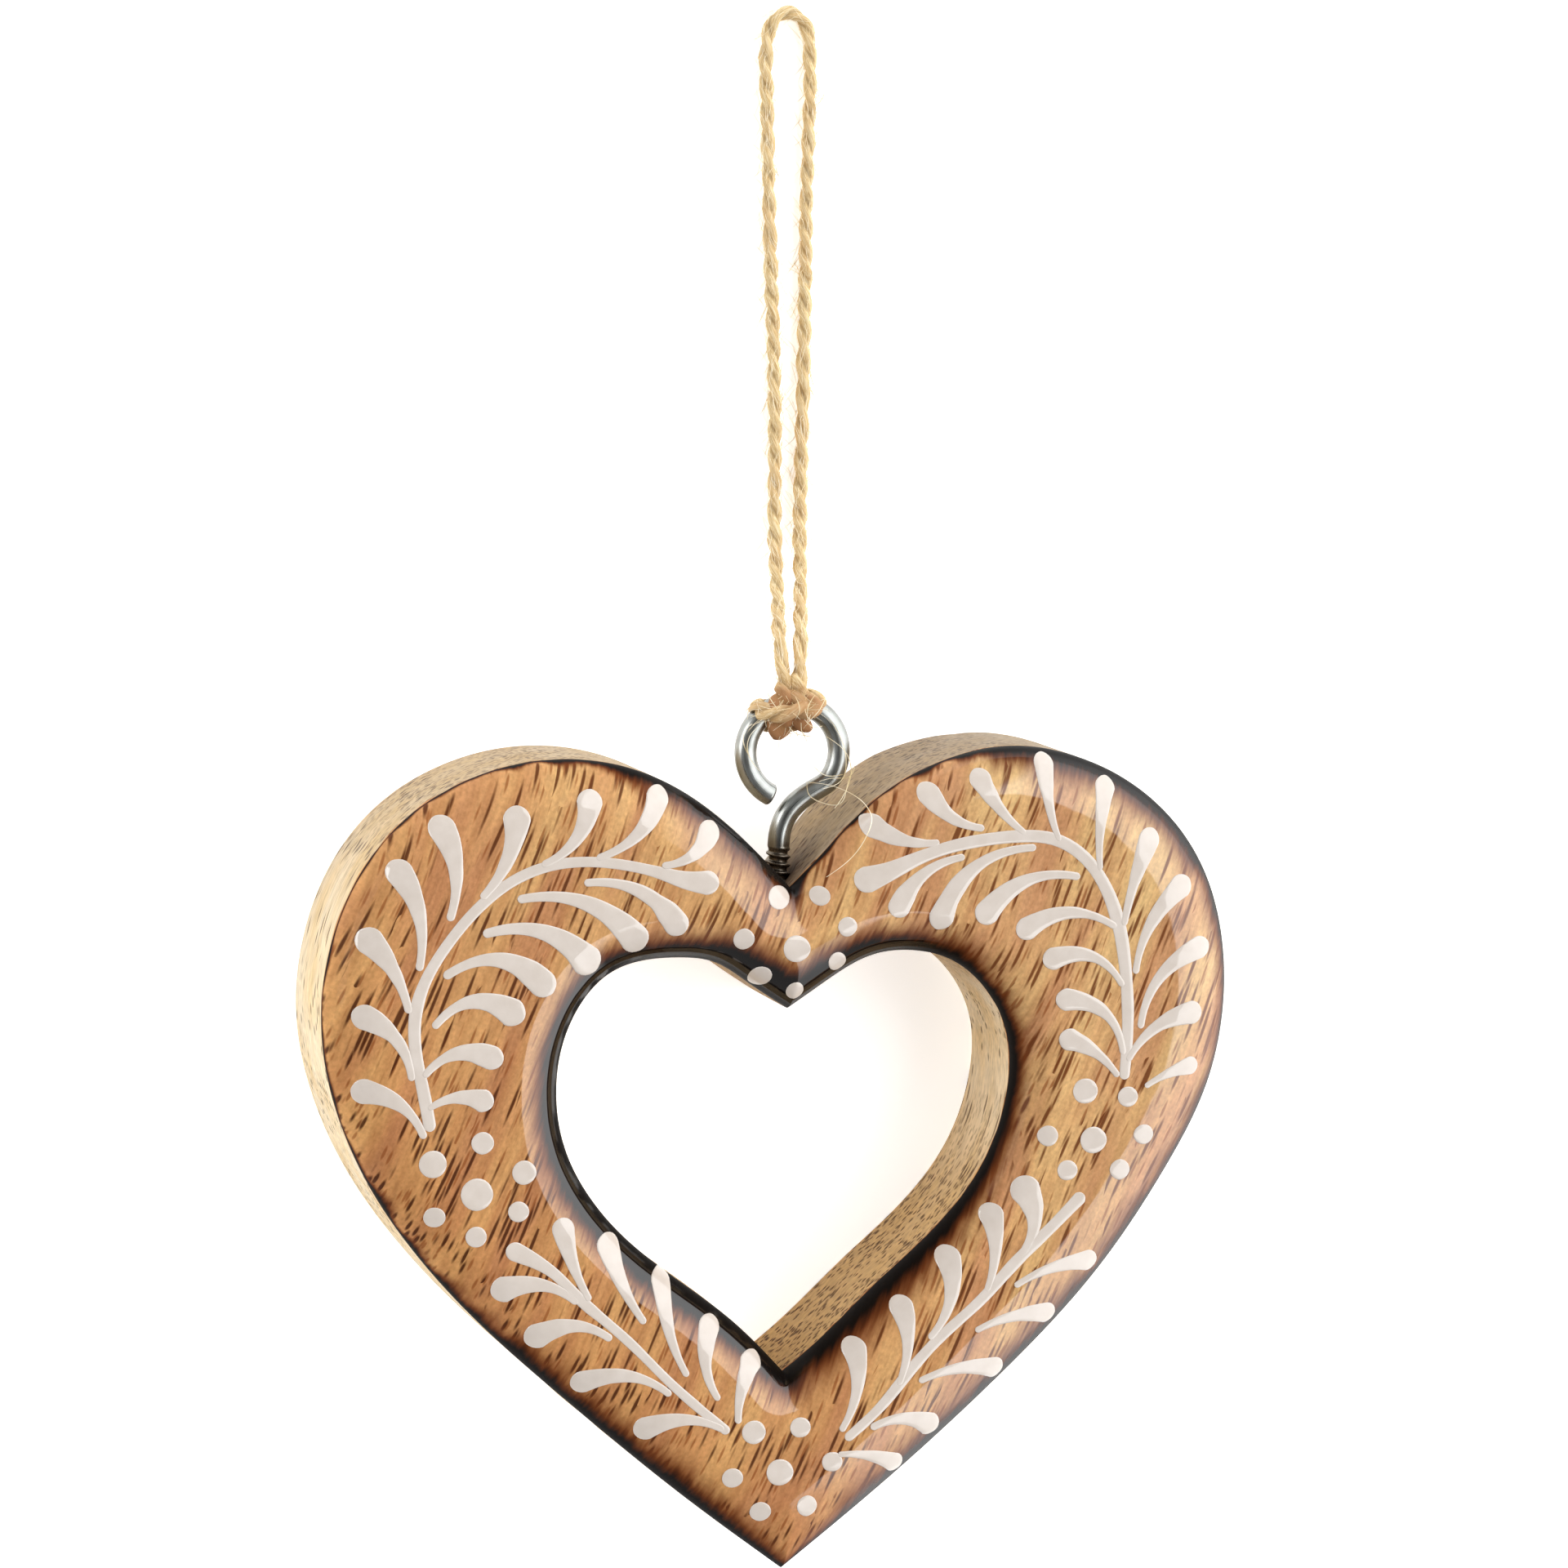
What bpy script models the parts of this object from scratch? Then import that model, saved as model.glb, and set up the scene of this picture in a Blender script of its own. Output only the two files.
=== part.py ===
"""Wooden heart ornament on a twine loop, lying on its back.

A heart with a heart-shaped hole is sawn from a thick board. Its front face rolls over into the
sawn sides. A small screw eye of bent wire is driven into the cleft between the lobes, and a closed
loop of jute twine is hitched round the eye.

Frame: +Z out of the front face, +Y towards the loop, the flat back on z = 0 and the origin under
the middle of the heart and its screw eye. All lengths are in metres.
"""

import math

import bmesh
import bpy
import numpy as np

MM = 0.001

# Heart board
HEART_WIDTH = 100.0 * MM
HEART_HEIGHT = 89.5 * MM
THICKNESS = 19.5 * MM
ROLL_DROP = 4.5 * MM  # from the front face down to where the sawn side starts
OUTER_ROLL = 6.5 * MM  # width of the rolled edge along the outline
HOLE_ROLL = 5.0 * MM  # width of the rolled edge round the hole

# Wood left between the heart's outline and the hole
LEFT_RIM = 25.5 * MM
RIGHT_RIM = 24.0 * MM
TIP_RIM = 21.5 * MM
CLEFT_RIM = 13.0 * MM

# Screw eye, bent from one wire
WIRE = 2.4 * MM
EYE_RADIUS = 5.2 * MM  # to the middle of the wire
EYE_SET_OFF = 1.25 * MM  # the ring stands this far to the right of its shank
SHANK_DROP = 10.1 * MM  # from the ring's centre to the first thread
THREAD_LENGTH = 12.0 * MM
THREAD_WIDTH = 2.7 * MM
THREAD_ROOT = 2.0 * MM
THREAD_PITCH = 0.9 * MM
WOOD_BELOW_SCREW = 5.0 * MM

# Jute twine
TWINE = 1.5 * MM

# Room that touching pieces keep
FIT_GAP = 0.3 * MM

# Outlines from cleft to tip: across as a share of the half width, up as a share of the height
HEART_CLEFT, HEART_TIP = (0.015, 0.829), (0.033, 0.0)
HEART_LEFT = [(-0.12, 0.902), (-0.265, 0.956), (-0.466, 0.983), (-0.716, 0.953), (-0.873, 0.886),
              (-0.973, 0.782), (-1.0, 0.668), (-0.95, 0.544), (-0.805, 0.405), (-0.466, 0.218), (-0.19, 0.092)]
HEART_RIGHT = [(0.072, 0.861), (0.178, 0.924), (0.341, 0.98), (0.499, 1.0), (0.668, 0.984), (0.847, 0.924),
               (0.965, 0.824), (1.0, 0.717), (0.979, 0.609), (0.888, 0.493), (0.74, 0.367), (0.526, 0.237),
               (0.256, 0.101)]
HOLE_CLEFT, HOLE_TIP = (0.0, 0.867), (0.03, 0.0)
HOLE_LEFT = [(-0.175, 0.929), (-0.303, 0.972), (-0.482, 0.988), (-0.65, 0.98), (-0.8, 0.945), (-0.905, 0.88),
             (-0.992, 0.747), (-0.986, 0.604), (-0.829, 0.416), (-0.551, 0.267), (-0.167, 0.108)]
HOLE_RIGHT = [(0.145, 0.922), (0.337, 0.985), (0.579, 1.0), (0.859, 0.925), (1.0, 0.769), (0.97, 0.59),
              (0.78, 0.392), (0.44, 0.208), (0.15, 0.055)]

# Hitch, left half from behind the wire over the ring to the middle of the bight in front. Each
# point has its turn round the ring in degrees, then how far it lies outward and forward of the
# wire's middle, as shares of the twine's distance from it.
HITCH_TURN = -10.0  # the hitch sits this far left of the ring's top, in degrees
HITCH_WRAP = [(-24.0, 0.06, -1.0), (-28.0, 0.72, -0.7), (-30.0, 1.0, 0.0), (-29.5, 0.75, 0.75),
              (-27.5, 0.2, 1.26), (-19.0, -0.14, 1.66), (0.0, -0.26, 1.82)]
# The same strand from the front, under the wire inside the ring, to behind it
HITCH_UNDER = [(-12.0, 0.0, 1.0), (-16.5, -0.7, 0.7), (-18.5, -1.0, 0.0), (-20.0, -0.7, -0.7), (-23.0, -0.1, -1.0)]

# Free strands in mm from the ring's centre, z from the floor, from the hitch round the loop
RIGHT_STRAND = [(0.06, 7.2, 11.7), (0.6, 9.9, 9.7), (1.35, 13.5, 6.7), (2.05, 17.8, 3.5), (2.4, 22.3, 1.5),
                (2.5, 27.0, 0.85), (2.5, 32.5, 0.8), (2.5, 38.0, 0.8), (2.45, 45.0, 0.8), (2.4, 52.0, 0.8),
                (2.3, 58.6, 0.8), (2.35, 65.4, 0.8), (2.35, 71.3, 0.8), (2.15, 75.9, 0.8), (1.3, 78.5, 0.8)]
LOOP_TOP = (-0.25, 79.25, 0.8)
LEFT_STRAND = [(-1.75, 78.5, 0.8), (-2.6, 75.9, 0.8), (-2.5, 71.3, 0.8), (-2.2, 65.4, 0.8), (-1.85, 58.6, 0.8),
               (-1.5, 52.0, 0.8), (-1.05, 45.0, 0.8), (-0.7, 38.0, 0.8), (-0.5, 32.5, 0.8), (-0.4, 27.0, 0.85),
               (-0.4, 22.3, 1.5), (-0.6, 17.8, 3.5), (-1.1, 13.5, 6.7), (-1.5, 9.9, 9.7), (-1.75, 7.2, 11.7)]

# Fineness of the solids
HALF_STATIONS = 54
ROLL_STEPS = 5
WIRE_SIDES = 12
THREAD_ROWS = 5
STRAND_STEP = 3.8 * MM
STRAND_BEND = math.radians(34)  # most that the twine turns from one point to the next


def spline(knots, count):
    """Points on the natural cubic curve through the knots, whose parameter is their chord length."""
    knots = np.asarray(knots, float)
    span = np.linalg.norm(np.diff(knots, axis=0), axis=1)
    at = np.concatenate([[0.0], np.cumsum(span)])
    matrix, pull = np.eye(len(knots)), np.zeros_like(knots)
    for i in range(1, len(knots) - 1):
        matrix[i, i - 1 : i + 2] = span[i - 1], 2 * (span[i - 1] + span[i]), span[i]
        pull[i] = 6 * ((knots[i + 1] - knots[i]) / span[i] - (knots[i] - knots[i - 1]) / span[i - 1])
    bend = np.linalg.solve(matrix, pull)
    t = np.linspace(0.0, at[-1], count)
    i = np.clip(np.searchsorted(at, t, side="right") - 1, 0, len(span) - 1)
    before, after = ((at[i + 1] - t) / span[i])[:, None], ((t - at[i]) / span[i])[:, None]
    curve = before * knots[i] + after * knots[i + 1]
    return curve + ((before**3 - before) * bend[i] + (after**3 - after) * bend[i + 1]) * span[i, None] ** 2 / 6


def length_along(points):
    """Distance of each point from the first one, along the line."""
    return np.concatenate([[0.0], np.cumsum(np.linalg.norm(np.diff(points, axis=0), axis=1))])


def even_points(points, count):
    """The line again, as points at equal distances along it."""
    along = length_along(points)
    at = np.linspace(0.0, along[-1], count)
    return np.stack([np.interp(at, along, column) for column in points.T], axis=1)


def heart_loop(cleft, left, right, tip):
    """Closed outline from the cleft down the left side to the tip and up the right side, fitted
    between -1 and 1 across and from the tip's height upwards."""
    down = even_points(spline([cleft, *left, tip], 2000), HALF_STATIONS + 1)
    up = even_points(spline([cleft, *right, tip], 2000), HALF_STATIONS + 1)[::-1]
    loop = np.concatenate([down[:-1], up[:-1]])
    low, high = loop.min(axis=0), loop.max(axis=0)
    loop[:, 0] = 2 * (loop[:, 0] - low[0]) / (high[0] - low[0]) - 1
    loop[:, 1] = (loop[:, 1] - low[1]) / (high[1] - low[1])
    return loop


def distance_to(loop, points):
    """Distance from each point to the nearest side of a closed outline."""
    start, side = loop, np.roll(loop, -1, axis=0) - loop
    reach = points[:, None, :] - start
    share = np.clip((reach * side).sum(axis=2) / (side**2).sum(axis=1), 0.0, 1.0)
    return np.linalg.norm(reach - share[:, :, None] * side, axis=2).min(axis=1)


def rolled(distance, width):
    """Height share of a rolled edge: a quarter of an ellipse, 0 at the side and 1 past its width."""
    inside = 1.0 - np.clip(distance / width, 0.0, 1.0)
    return np.sqrt(1.0 - inside**2)


def finish(name, mesh_or_curve, location, colour, roughness, metallic, parent):
    """Puts a shape in the scene as a named piece with its own material."""
    piece = bpy.data.objects.new(name, mesh_or_curve)
    piece.location = location
    piece.parent = parent
    bpy.context.scene.collection.objects.link(piece)
    material = bpy.data.materials.new(name)
    material.use_nodes = True
    shader = material.node_tree.nodes["Principled BSDF"]
    shader.inputs["Base Color"].default_value = (*colour, 1.0)
    shader.inputs["Roughness"].default_value = roughness
    shader.inputs["Metallic"].default_value = metallic
    mesh_or_curve.materials.append(material)
    return piece


def mesh_from(name, points, faces, sharp_degrees):
    """Mesh with its faces turned outwards, shaded smooth except over sharp edges."""
    mesh = bpy.data.meshes.new(name)
    mesh.from_pydata(points.tolist(), [], faces)
    work = bmesh.new()
    work.from_mesh(mesh)
    bmesh.ops.recalc_face_normals(work, faces=work.faces)
    work.to_mesh(mesh)
    work.free()
    mesh.shade_smooth()
    mesh.set_sharp_from_angle(angle=math.radians(sharp_degrees))
    return mesh


def clear_scene():
    for old in list(bpy.data.objects):
        bpy.data.objects.remove(old, do_unlink=True)


def heart_mesh(outer, hole):
    """Closed ring of stations. Each runs up the outer side, over the front to the hole, down the
    hole's side and back under the flat back."""
    run = hole - outer
    length = np.linalg.norm(run, axis=1)
    crowding = np.minimum(1.0, 0.9 * length / (OUTER_ROLL + HOLE_ROLL))
    angles = np.radians(90.0 * np.arange(ROLL_STEPS + 1) / ROLL_STEPS)
    from_outer = [OUTER_ROLL * (1 - math.cos(a)) * crowding / length for a in angles]
    from_hole = [1 - HOLE_ROLL * (1 - math.cos(a)) * crowding / length for a in angles[::-1]]
    middle = (from_outer[-1] + from_hole[0]) / 2
    side_height = THICKNESS - ROLL_DROP
    rows = [np.column_stack([outer, np.zeros(len(outer))])]
    for share in [*from_outer, middle, *from_hole]:
        flat = outer + run * np.reshape(share, (-1, 1))
        rise = rolled(distance_to(outer, flat), OUTER_ROLL) * rolled(distance_to(hole, flat), HOLE_ROLL)
        rows.append(np.column_stack([flat, side_height + ROLL_DROP * rise]))
    rows.append(np.column_stack([hole, np.zeros(len(hole))]))
    count, stations = len(rows), len(outer)
    faces = [
        (r * stations + s, r * stations + (s + 1) % stations,
         (r + 1) % count * stations + (s + 1) % stations, (r + 1) % count * stations + s)
        for r in range(count)
        for s in range(stations)
    ]
    return mesh_from("heart", np.concatenate(rows), faces, 35)


def eye_path():
    """Middle line of the wire, round the ring's centre: from the cut end clockwise over the top,
    through the neck and down the shank. It also gives the length at which the thread starts."""
    start, end = math.radians(246), math.radians(-35)
    turn = np.linspace(start, end, 30)
    ring = EYE_RADIUS * np.column_stack([np.cos(turn), np.sin(turn)])
    heading = np.array([math.sin(end), -math.cos(end)])
    shank_top = np.array([-EYE_SET_OFF, -SHANK_DROP])
    pull = [ring[-1], ring[-1] + 0.3 * EYE_RADIUS * heading, shank_top + [0, EYE_RADIUS], shank_top]
    t = np.linspace(0, 1, 12)[1:, None]
    neck = (1 - t) ** 3 * pull[0] + 3 * t * (1 - t) ** 2 * pull[1] + 3 * t**2 * (1 - t) * pull[2] + t**3 * pull[3]
    plain = np.concatenate([ring, neck])
    rows = round(THREAD_LENGTH / THREAD_PITCH * THREAD_ROWS)
    down = np.arange(1, rows + 1)[:, None] * THREAD_LENGTH / rows
    return np.concatenate([plain, shank_top - down * [0, 1]]), length_along(plain)[-1]


def eye_mesh():
    """Wire with a ridge wound round its threaded end, which narrows to a point."""
    path, thread_start = eye_path()
    along = length_along(path)
    ahead = np.gradient(path, axis=0)
    ahead /= np.linalg.norm(ahead, axis=1)[:, None]
    across = np.column_stack([-ahead[:, 1], ahead[:, 0]])
    angle = np.linspace(0, 2 * math.pi, WIRE_SIDES, endpoint=False)
    into_thread = (along - thread_start)[:, None]
    wound = (into_thread / THREAD_PITCH + angle / (2 * math.pi)) % 1.0
    ridge = THREAD_ROOT / 2 + (THREAD_WIDTH - THREAD_ROOT) / 2 * (1 - np.abs(2 * wound - 1))
    point = np.clip((along[-1] - along) / (2 * THREAD_PITCH), 0.15, 1.0)[:, None]
    radius = np.where(into_thread > THREAD_PITCH / THREAD_ROWS / 2, ridge * point, WIRE / 2)
    xy = path[:, None, :] + radius[:, :, None] * np.cos(angle)[None, :, None] * across[:, None, :]
    z = radius * np.sin(angle)
    points = np.concatenate([xy, z[:, :, None]], axis=2).reshape(-1, 3)
    rows = len(path)
    faces = [
        (r * WIRE_SIDES + s, r * WIRE_SIDES + (s + 1) % WIRE_SIDES,
         (r + 1) * WIRE_SIDES + (s + 1) % WIRE_SIDES, (r + 1) * WIRE_SIDES + s)
        for r in range(rows - 1)
        for s in range(WIRE_SIDES)
    ]
    faces.append(tuple(range(WIRE_SIDES)))
    faces.append(tuple((rows - 1) * WIRE_SIDES + s for s in range(WIRE_SIDES)))
    return mesh_from("screw_eye", points, faces, 50)


def hitch_points(turns):
    """Places round the ring for (turn, outward share, forward share), from the ring's centre."""
    reach = WIRE / 2 + TWINE / 2 + FIT_GAP
    turn, outward, forward = np.array(turns).T
    turn = np.radians(turn + HITCH_TURN)
    radius = EYE_RADIUS + outward * reach
    return np.column_stack([radius * np.sin(turn), radius * np.cos(turn), forward * reach])


def mirrored(turns):
    return [(-turn, outward, forward) for turn, outward, forward in turns]


def twine_line(ring_height):
    """Middle line of the twine from the ring's centre: behind the ring, over it, across the front
    as the bight, round behind and under, then round the whole loop and back behind the ring."""
    floor = [0.0, 0.0, ring_height]
    bight = hitch_points(HITCH_WRAP + mirrored(HITCH_WRAP[-2::-1]))
    right_under = hitch_points(mirrored(HITCH_UNDER[-2::-1]))
    loop = np.array([*RIGHT_STRAND, LOOP_TOP, *LEFT_STRAND]) * MM - floor
    left_under = hitch_points(HITCH_UNDER)
    line = spline(np.concatenate([bight, right_under, loop, left_under]), 6000)
    piece = np.diff(line, axis=0)
    size = np.linalg.norm(piece, axis=1)
    ahead = piece / size[:, None]
    turn = np.linalg.norm(np.diff(ahead, axis=0, append=ahead[-1:]), axis=1)
    steps = np.concatenate([[0.0], np.cumsum(np.hypot(size / STRAND_STEP, turn / STRAND_BEND))])
    at = np.linspace(0, steps[-1], round(steps[-1]) + 1)
    return np.stack([np.interp(at, steps, column) for column in line.T], axis=1)


def twine_curve(line):
    curve = bpy.data.curves.new("twine_loop", "CURVE")
    curve.dimensions = "3D"
    curve.bevel_depth = TWINE / 2
    curve.bevel_resolution = 2
    curve.use_fill_caps = True
    strand = curve.splines.new("POLY")
    strand.points.add(len(line) - 1)
    strand.points.foreach_set("co", np.column_stack([line, np.ones(len(line))]).ravel())
    return curve


clear_scene()

outer = heart_loop(HEART_CLEFT, HEART_LEFT, HEART_RIGHT, HEART_TIP) * [HEART_WIDTH / 2, HEART_HEIGHT]
hole = heart_loop(HOLE_CLEFT, HOLE_LEFT, HOLE_RIGHT, HOLE_TIP)
cleft = outer[0]
hole_width = HEART_WIDTH - LEFT_RIM - RIGHT_RIM
hole_height = (cleft[1] - CLEFT_RIM - TIP_RIM) / hole[0, 1]
hole = hole * [hole_width / 2, hole_height] + [(LEFT_RIM - RIGHT_RIM) / 2, TIP_RIM]

screw_depth = CLEFT_RIM - WOOD_BELOW_SCREW
eye_centre = cleft + [EYE_SET_OFF, SHANK_DROP + THREAD_LENGTH - screw_depth]
whole_length = eye_centre[1] + EYE_RADIUS + WIRE / 2
middle_height = THICKNESS / 2

ornament = bpy.data.objects.new("ornament", None)
bpy.context.scene.collection.objects.link(ornament)
ornament.location = (0.0, -whole_length / 2, 0.0)

heart = finish("heart", heart_mesh(outer, hole), (0, 0, 0), (0.50, 0.25, 0.10), 0.25, 0.0, ornament)
eye_place = (*eye_centre, middle_height)
finish("screw_eye", eye_mesh(), eye_place, (0.60, 0.60, 0.58), 0.2, 1.0, ornament)
finish("twine_loop", twine_curve(twine_line(middle_height)), eye_place, (0.68, 0.50, 0.28), 0.9, 0.0, ornament)

bore_radius = THREAD_WIDTH / 2 + FIT_GAP
bore_bottom = cleft[1] - screw_depth - FIT_GAP
bore_top = cleft[1] + 2 * bore_radius
cutter_mesh = bpy.data.meshes.new("screw_bore")
cutter_shape = bmesh.new()
bmesh.ops.create_cone(cutter_shape, cap_ends=True, segments=16, radius1=bore_radius, radius2=bore_radius,
                      depth=bore_top - bore_bottom)
cutter_shape.to_mesh(cutter_mesh)
cutter_shape.free()
cutter = bpy.data.objects.new("screw_bore", cutter_mesh)
cutter.parent = ornament
cutter.location = (eye_centre[0] - EYE_SET_OFF, (bore_top + bore_bottom) / 2, middle_height)
cutter.rotation_euler = (math.radians(90), 0, 0)
cutter.hide_render = True
cutter.display_type = "WIRE"
bpy.context.scene.collection.objects.link(cutter)
bore = heart.modifiers.new("screw_bore", "BOOLEAN")
bore.operation = "DIFFERENCE"
bore.object = cutter
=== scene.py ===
"""Looks of the wooden heart ornament, lying on its back with its twine loop laid out above it.

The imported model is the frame. The heart, its screw eye and its twine loop are replaced by finer
meshes on the same outlines and the same routes. All lengths are in metres.
"""

import math

import bmesh
import bpy
import numpy as np
from mathutils import Matrix, Vector


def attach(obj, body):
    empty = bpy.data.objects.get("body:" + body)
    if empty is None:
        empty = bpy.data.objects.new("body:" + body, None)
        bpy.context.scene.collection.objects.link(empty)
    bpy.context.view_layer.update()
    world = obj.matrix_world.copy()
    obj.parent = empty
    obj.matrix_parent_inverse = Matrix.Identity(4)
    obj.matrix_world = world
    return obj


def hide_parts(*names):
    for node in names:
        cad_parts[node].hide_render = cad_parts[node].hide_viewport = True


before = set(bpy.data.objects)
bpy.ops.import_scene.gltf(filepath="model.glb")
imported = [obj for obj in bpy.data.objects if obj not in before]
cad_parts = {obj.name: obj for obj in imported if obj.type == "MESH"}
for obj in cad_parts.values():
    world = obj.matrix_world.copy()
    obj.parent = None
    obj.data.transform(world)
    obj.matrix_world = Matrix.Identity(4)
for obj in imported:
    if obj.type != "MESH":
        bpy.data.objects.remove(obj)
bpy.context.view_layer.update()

# View of the photograph
# A long lens looks down on the lying ornament, a little from its left and from the loop's end.
# Places read off the photograph are pixels of its 1920 by 1920 frame.
MM = 0.001
PHOTO_WIDTH_PX = 1920
FOCAL_PX = 8140.0
SENSOR_WIDTH_MM = 36.0
CAMERA_PLACE = np.array([-181.53, 110.66, 699.3]) * MM
CAMERA_BACK = np.array([-0.2548, 0.1021, 0.9616])  # from the ornament to the camera
CAMERA_UP = np.array([0.0, 0.9944, -0.1056])
CAMERA_RIGHT = np.cross(CAMERA_UP, CAMERA_BACK)
PX = 0.0874 * MM  # one pixel at the ornament's distance

camera_data = bpy.data.cameras.new("photo_camera")
camera_data.sensor_width = SENSOR_WIDTH_MM
camera_data.lens = FOCAL_PX / PHOTO_WIDTH_PX * SENSOR_WIDTH_MM
camera_data.clip_start = 0.05
camera_data.clip_end = 20.0
camera = bpy.data.objects.new("photo_camera", camera_data)
camera_axes = Matrix([CAMERA_RIGHT, CAMERA_UP, CAMERA_BACK]).transposed().to_4x4()
camera.matrix_world = Matrix.Translation(CAMERA_PLACE) @ camera_axes
bpy.context.scene.collection.objects.link(camera)
bpy.context.scene.camera = camera
bpy.context.scene.view_settings.view_transform = "Standard"


def at_height(pixels, height):
    """Where the lines of sight through pixels of the photograph cross the level at a height."""
    pixels = np.asarray(pixels, float)
    aside = (pixels[:, :1] - PHOTO_WIDTH_PX / 2) / FOCAL_PX * CAMERA_RIGHT
    above = (PHOTO_WIDTH_PX / 2 - pixels[:, 1:2]) / FOCAL_PX * CAMERA_UP
    sight = aside + above - CAMERA_BACK
    reach = (height - CAMERA_PLACE[2]) / sight[:, 2]
    return CAMERA_PLACE + reach[:, None] * sight


# Heart board
# Sawn from one thick board of open-pored wood, with a heart-shaped hole. The front rolls over into
# the sawn sides, is scorched by a torch along its edges and lacquered; sides and back are bare.
HEART_WIDTH = 100.0 * MM
HEART_HEIGHT = 89.5 * MM
THICKNESS = 19.5 * MM
ROLL_DROP = 4.5 * MM
OUTER_ROLL = 6.5 * MM
HOLE_ROLL = 5.0 * MM
LEFT_RIM = 25.5 * MM
RIGHT_RIM = 24.0 * MM
TIP_RIM = 21.5 * MM
CLEFT_RIM = 13.0 * MM
WHOLE_LENGTH = 94.69 * MM  # the heart and its screw eye
HEART_CLEFT, HEART_TIP = (0.015, 0.829), (0.033, 0.0)
HEART_LEFT = [
    (-0.12, 0.902), (-0.265, 0.956), (-0.466, 0.983), (-0.716, 0.953), (-0.873, 0.886), (-0.973, 0.782),
    (-1.0, 0.668), (-0.95, 0.544), (-0.805, 0.405), (-0.466, 0.218), (-0.19, 0.092),
]
HEART_RIGHT = [
    (0.072, 0.861), (0.178, 0.924), (0.341, 0.98), (0.499, 1.0), (0.668, 0.984), (0.847, 0.924),
    (0.965, 0.824), (1.0, 0.717), (0.979, 0.609), (0.888, 0.493), (0.74, 0.367), (0.526, 0.237),
    (0.256, 0.101),
]
HOLE_CLEFT, HOLE_TIP = (0.0, 0.867), (0.03, 0.0)
HOLE_LEFT = [
    (-0.175, 0.929), (-0.303, 0.972), (-0.482, 0.988), (-0.65, 0.98), (-0.8, 0.945), (-0.905, 0.88),
    (-0.992, 0.747), (-0.986, 0.604), (-0.829, 0.416), (-0.551, 0.267), (-0.167, 0.108),
]
HOLE_RIGHT = [
    (0.145, 0.922), (0.337, 0.985), (0.579, 1.0), (0.859, 0.925), (1.0, 0.769), (0.97, 0.59), (0.78, 0.392),
    (0.44, 0.208), (0.15, 0.055),
]
HALF_STATIONS = 350
ROLL_STEPS = 13
FLAT_ROWS = 22
SIDE_ROWS = 12
BACK_ROWS = 4
SAWN_CORNER = 0.25 * MM
LACQUER_EDGE = 0.45 * MM  # how far the lacquer runs down the sawn side
LACQUER_RAGGED, LIP_RAGGED = 0.6, 0.45  # how far its edges wander, as shares of their distance
GRAIN_ANGLE = math.radians(68)  # the grain on the front, from +X towards +Y
GRAIN_DIVE = math.radians(2.5)  # and down into the board

# How far the black char reaches from the sawn edge, in mm through the air, at shares of the way
# round from the cleft over the left lobe; and how far the brown scorching fades out beyond a reach
CHAR_OUTER = [
    (0.0, 1.8), (0.03, 2.4), (0.07, 2.0), (0.1, 0.9), (0.14, 0.2), (0.27, 0.2), (0.31, 0.9), (0.36, 1.8),
    (0.45, 2.0), (0.5, 1.6), (0.56, 2.7), (0.64, 2.6), (0.69, 1.9), (0.77, 1.5), (0.8, 2.2), (0.84, 2.7),
    (0.88, 2.0), (0.915, 0.9), (0.95, 0.1), (0.985, 0.1), (1.0, 1.8),
]
CHAR_HOLE = [
    (0.0, 5.0), (0.04, 4.4), (0.08, 3.6), (0.13, 3.6), (0.18, 4.2), (0.24, 4.2), (0.4, 4.2), (0.48, 3.6),
    (0.52, 2.1), (0.6, 2.2), (0.66, 1.8), (0.72, 1.3), (0.82, 1.5), (0.88, 3.0), (0.94, 4.2), (1.0, 5.0),
]
BROWN_FADE = [(0.1, 0.5), (0.5, 0.9), (1.4, 2.5), (2.2, 3.6), (2.8, 2.8), (3.6, 2.2), (5.0, 2.0)]
OUTER_WANDER, HOLE_WANDER = 0.3, 0.1  # how far the char's reach wanders, in mm
SIDE_CHAR, SIDE_WANDER = -0.04, 0.14  # the same down the sawn side
SIDE_FADE = 0.4 * MM
# Share of the lacquer's gloss left on both edges, which are dull where they face left, and how far
# from the edge the dullness starts and stops giving way
OUTER_GLOSS = [
    (0.0, 1.0), (0.055, 1.0), (0.08, 0.05), (0.5, 0.05), (0.54, 1.0), (0.915, 1.0), (0.94, 0.05),
    (0.99, 0.05), (1.0, 1.0),
]
HOLE_GLOSS = [(0.0, 1.0), (0.5, 1.0), (0.53, 0.05), (0.86, 0.05), (0.9, 1.0), (1.0, 1.0)]
DULL_START, DULL_STOP = 6.8 * MM, 9.0 * MM
BURNT_DULL = [(0.0, 0.05), (1.5, 0.1), (3.4, 1.0)]  # (mm from the sawn edge, gloss left on the burnt rim)
BARE_LIP = 0.75 * MM  # lacquer ends this far from the hole's left edge, in a wavy line
# How far the saw's slant carries the back edge out beyond the front one, in mm, round the right
# lobe's flank
SAW_SLANT = [(0.0, 0.0), (0.9, 0.0), (0.94, 1.0), (0.975, 1.2), (1.0, 0.0)]
SAW_WAVER = 0.07 * MM
WALL_GRAIN_ANGLE = math.radians(105)  # sawn walls with this heading show the fewest cut pores
OUTER_PORES, BACK_PORES = 0.65, 0.3  # cut pores outside as a share of the hole's, and on the back
DUST_AND_SHADE_SHARES = 0.35, 0.6  # share of dust and painted shade on the left and right lobes, where the side faces the loop
SOIL_AND_SHADE_REACH = 7 * MM, 30 * MM  # how far thick and thin soil and painted shade spread from the screw


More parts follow.
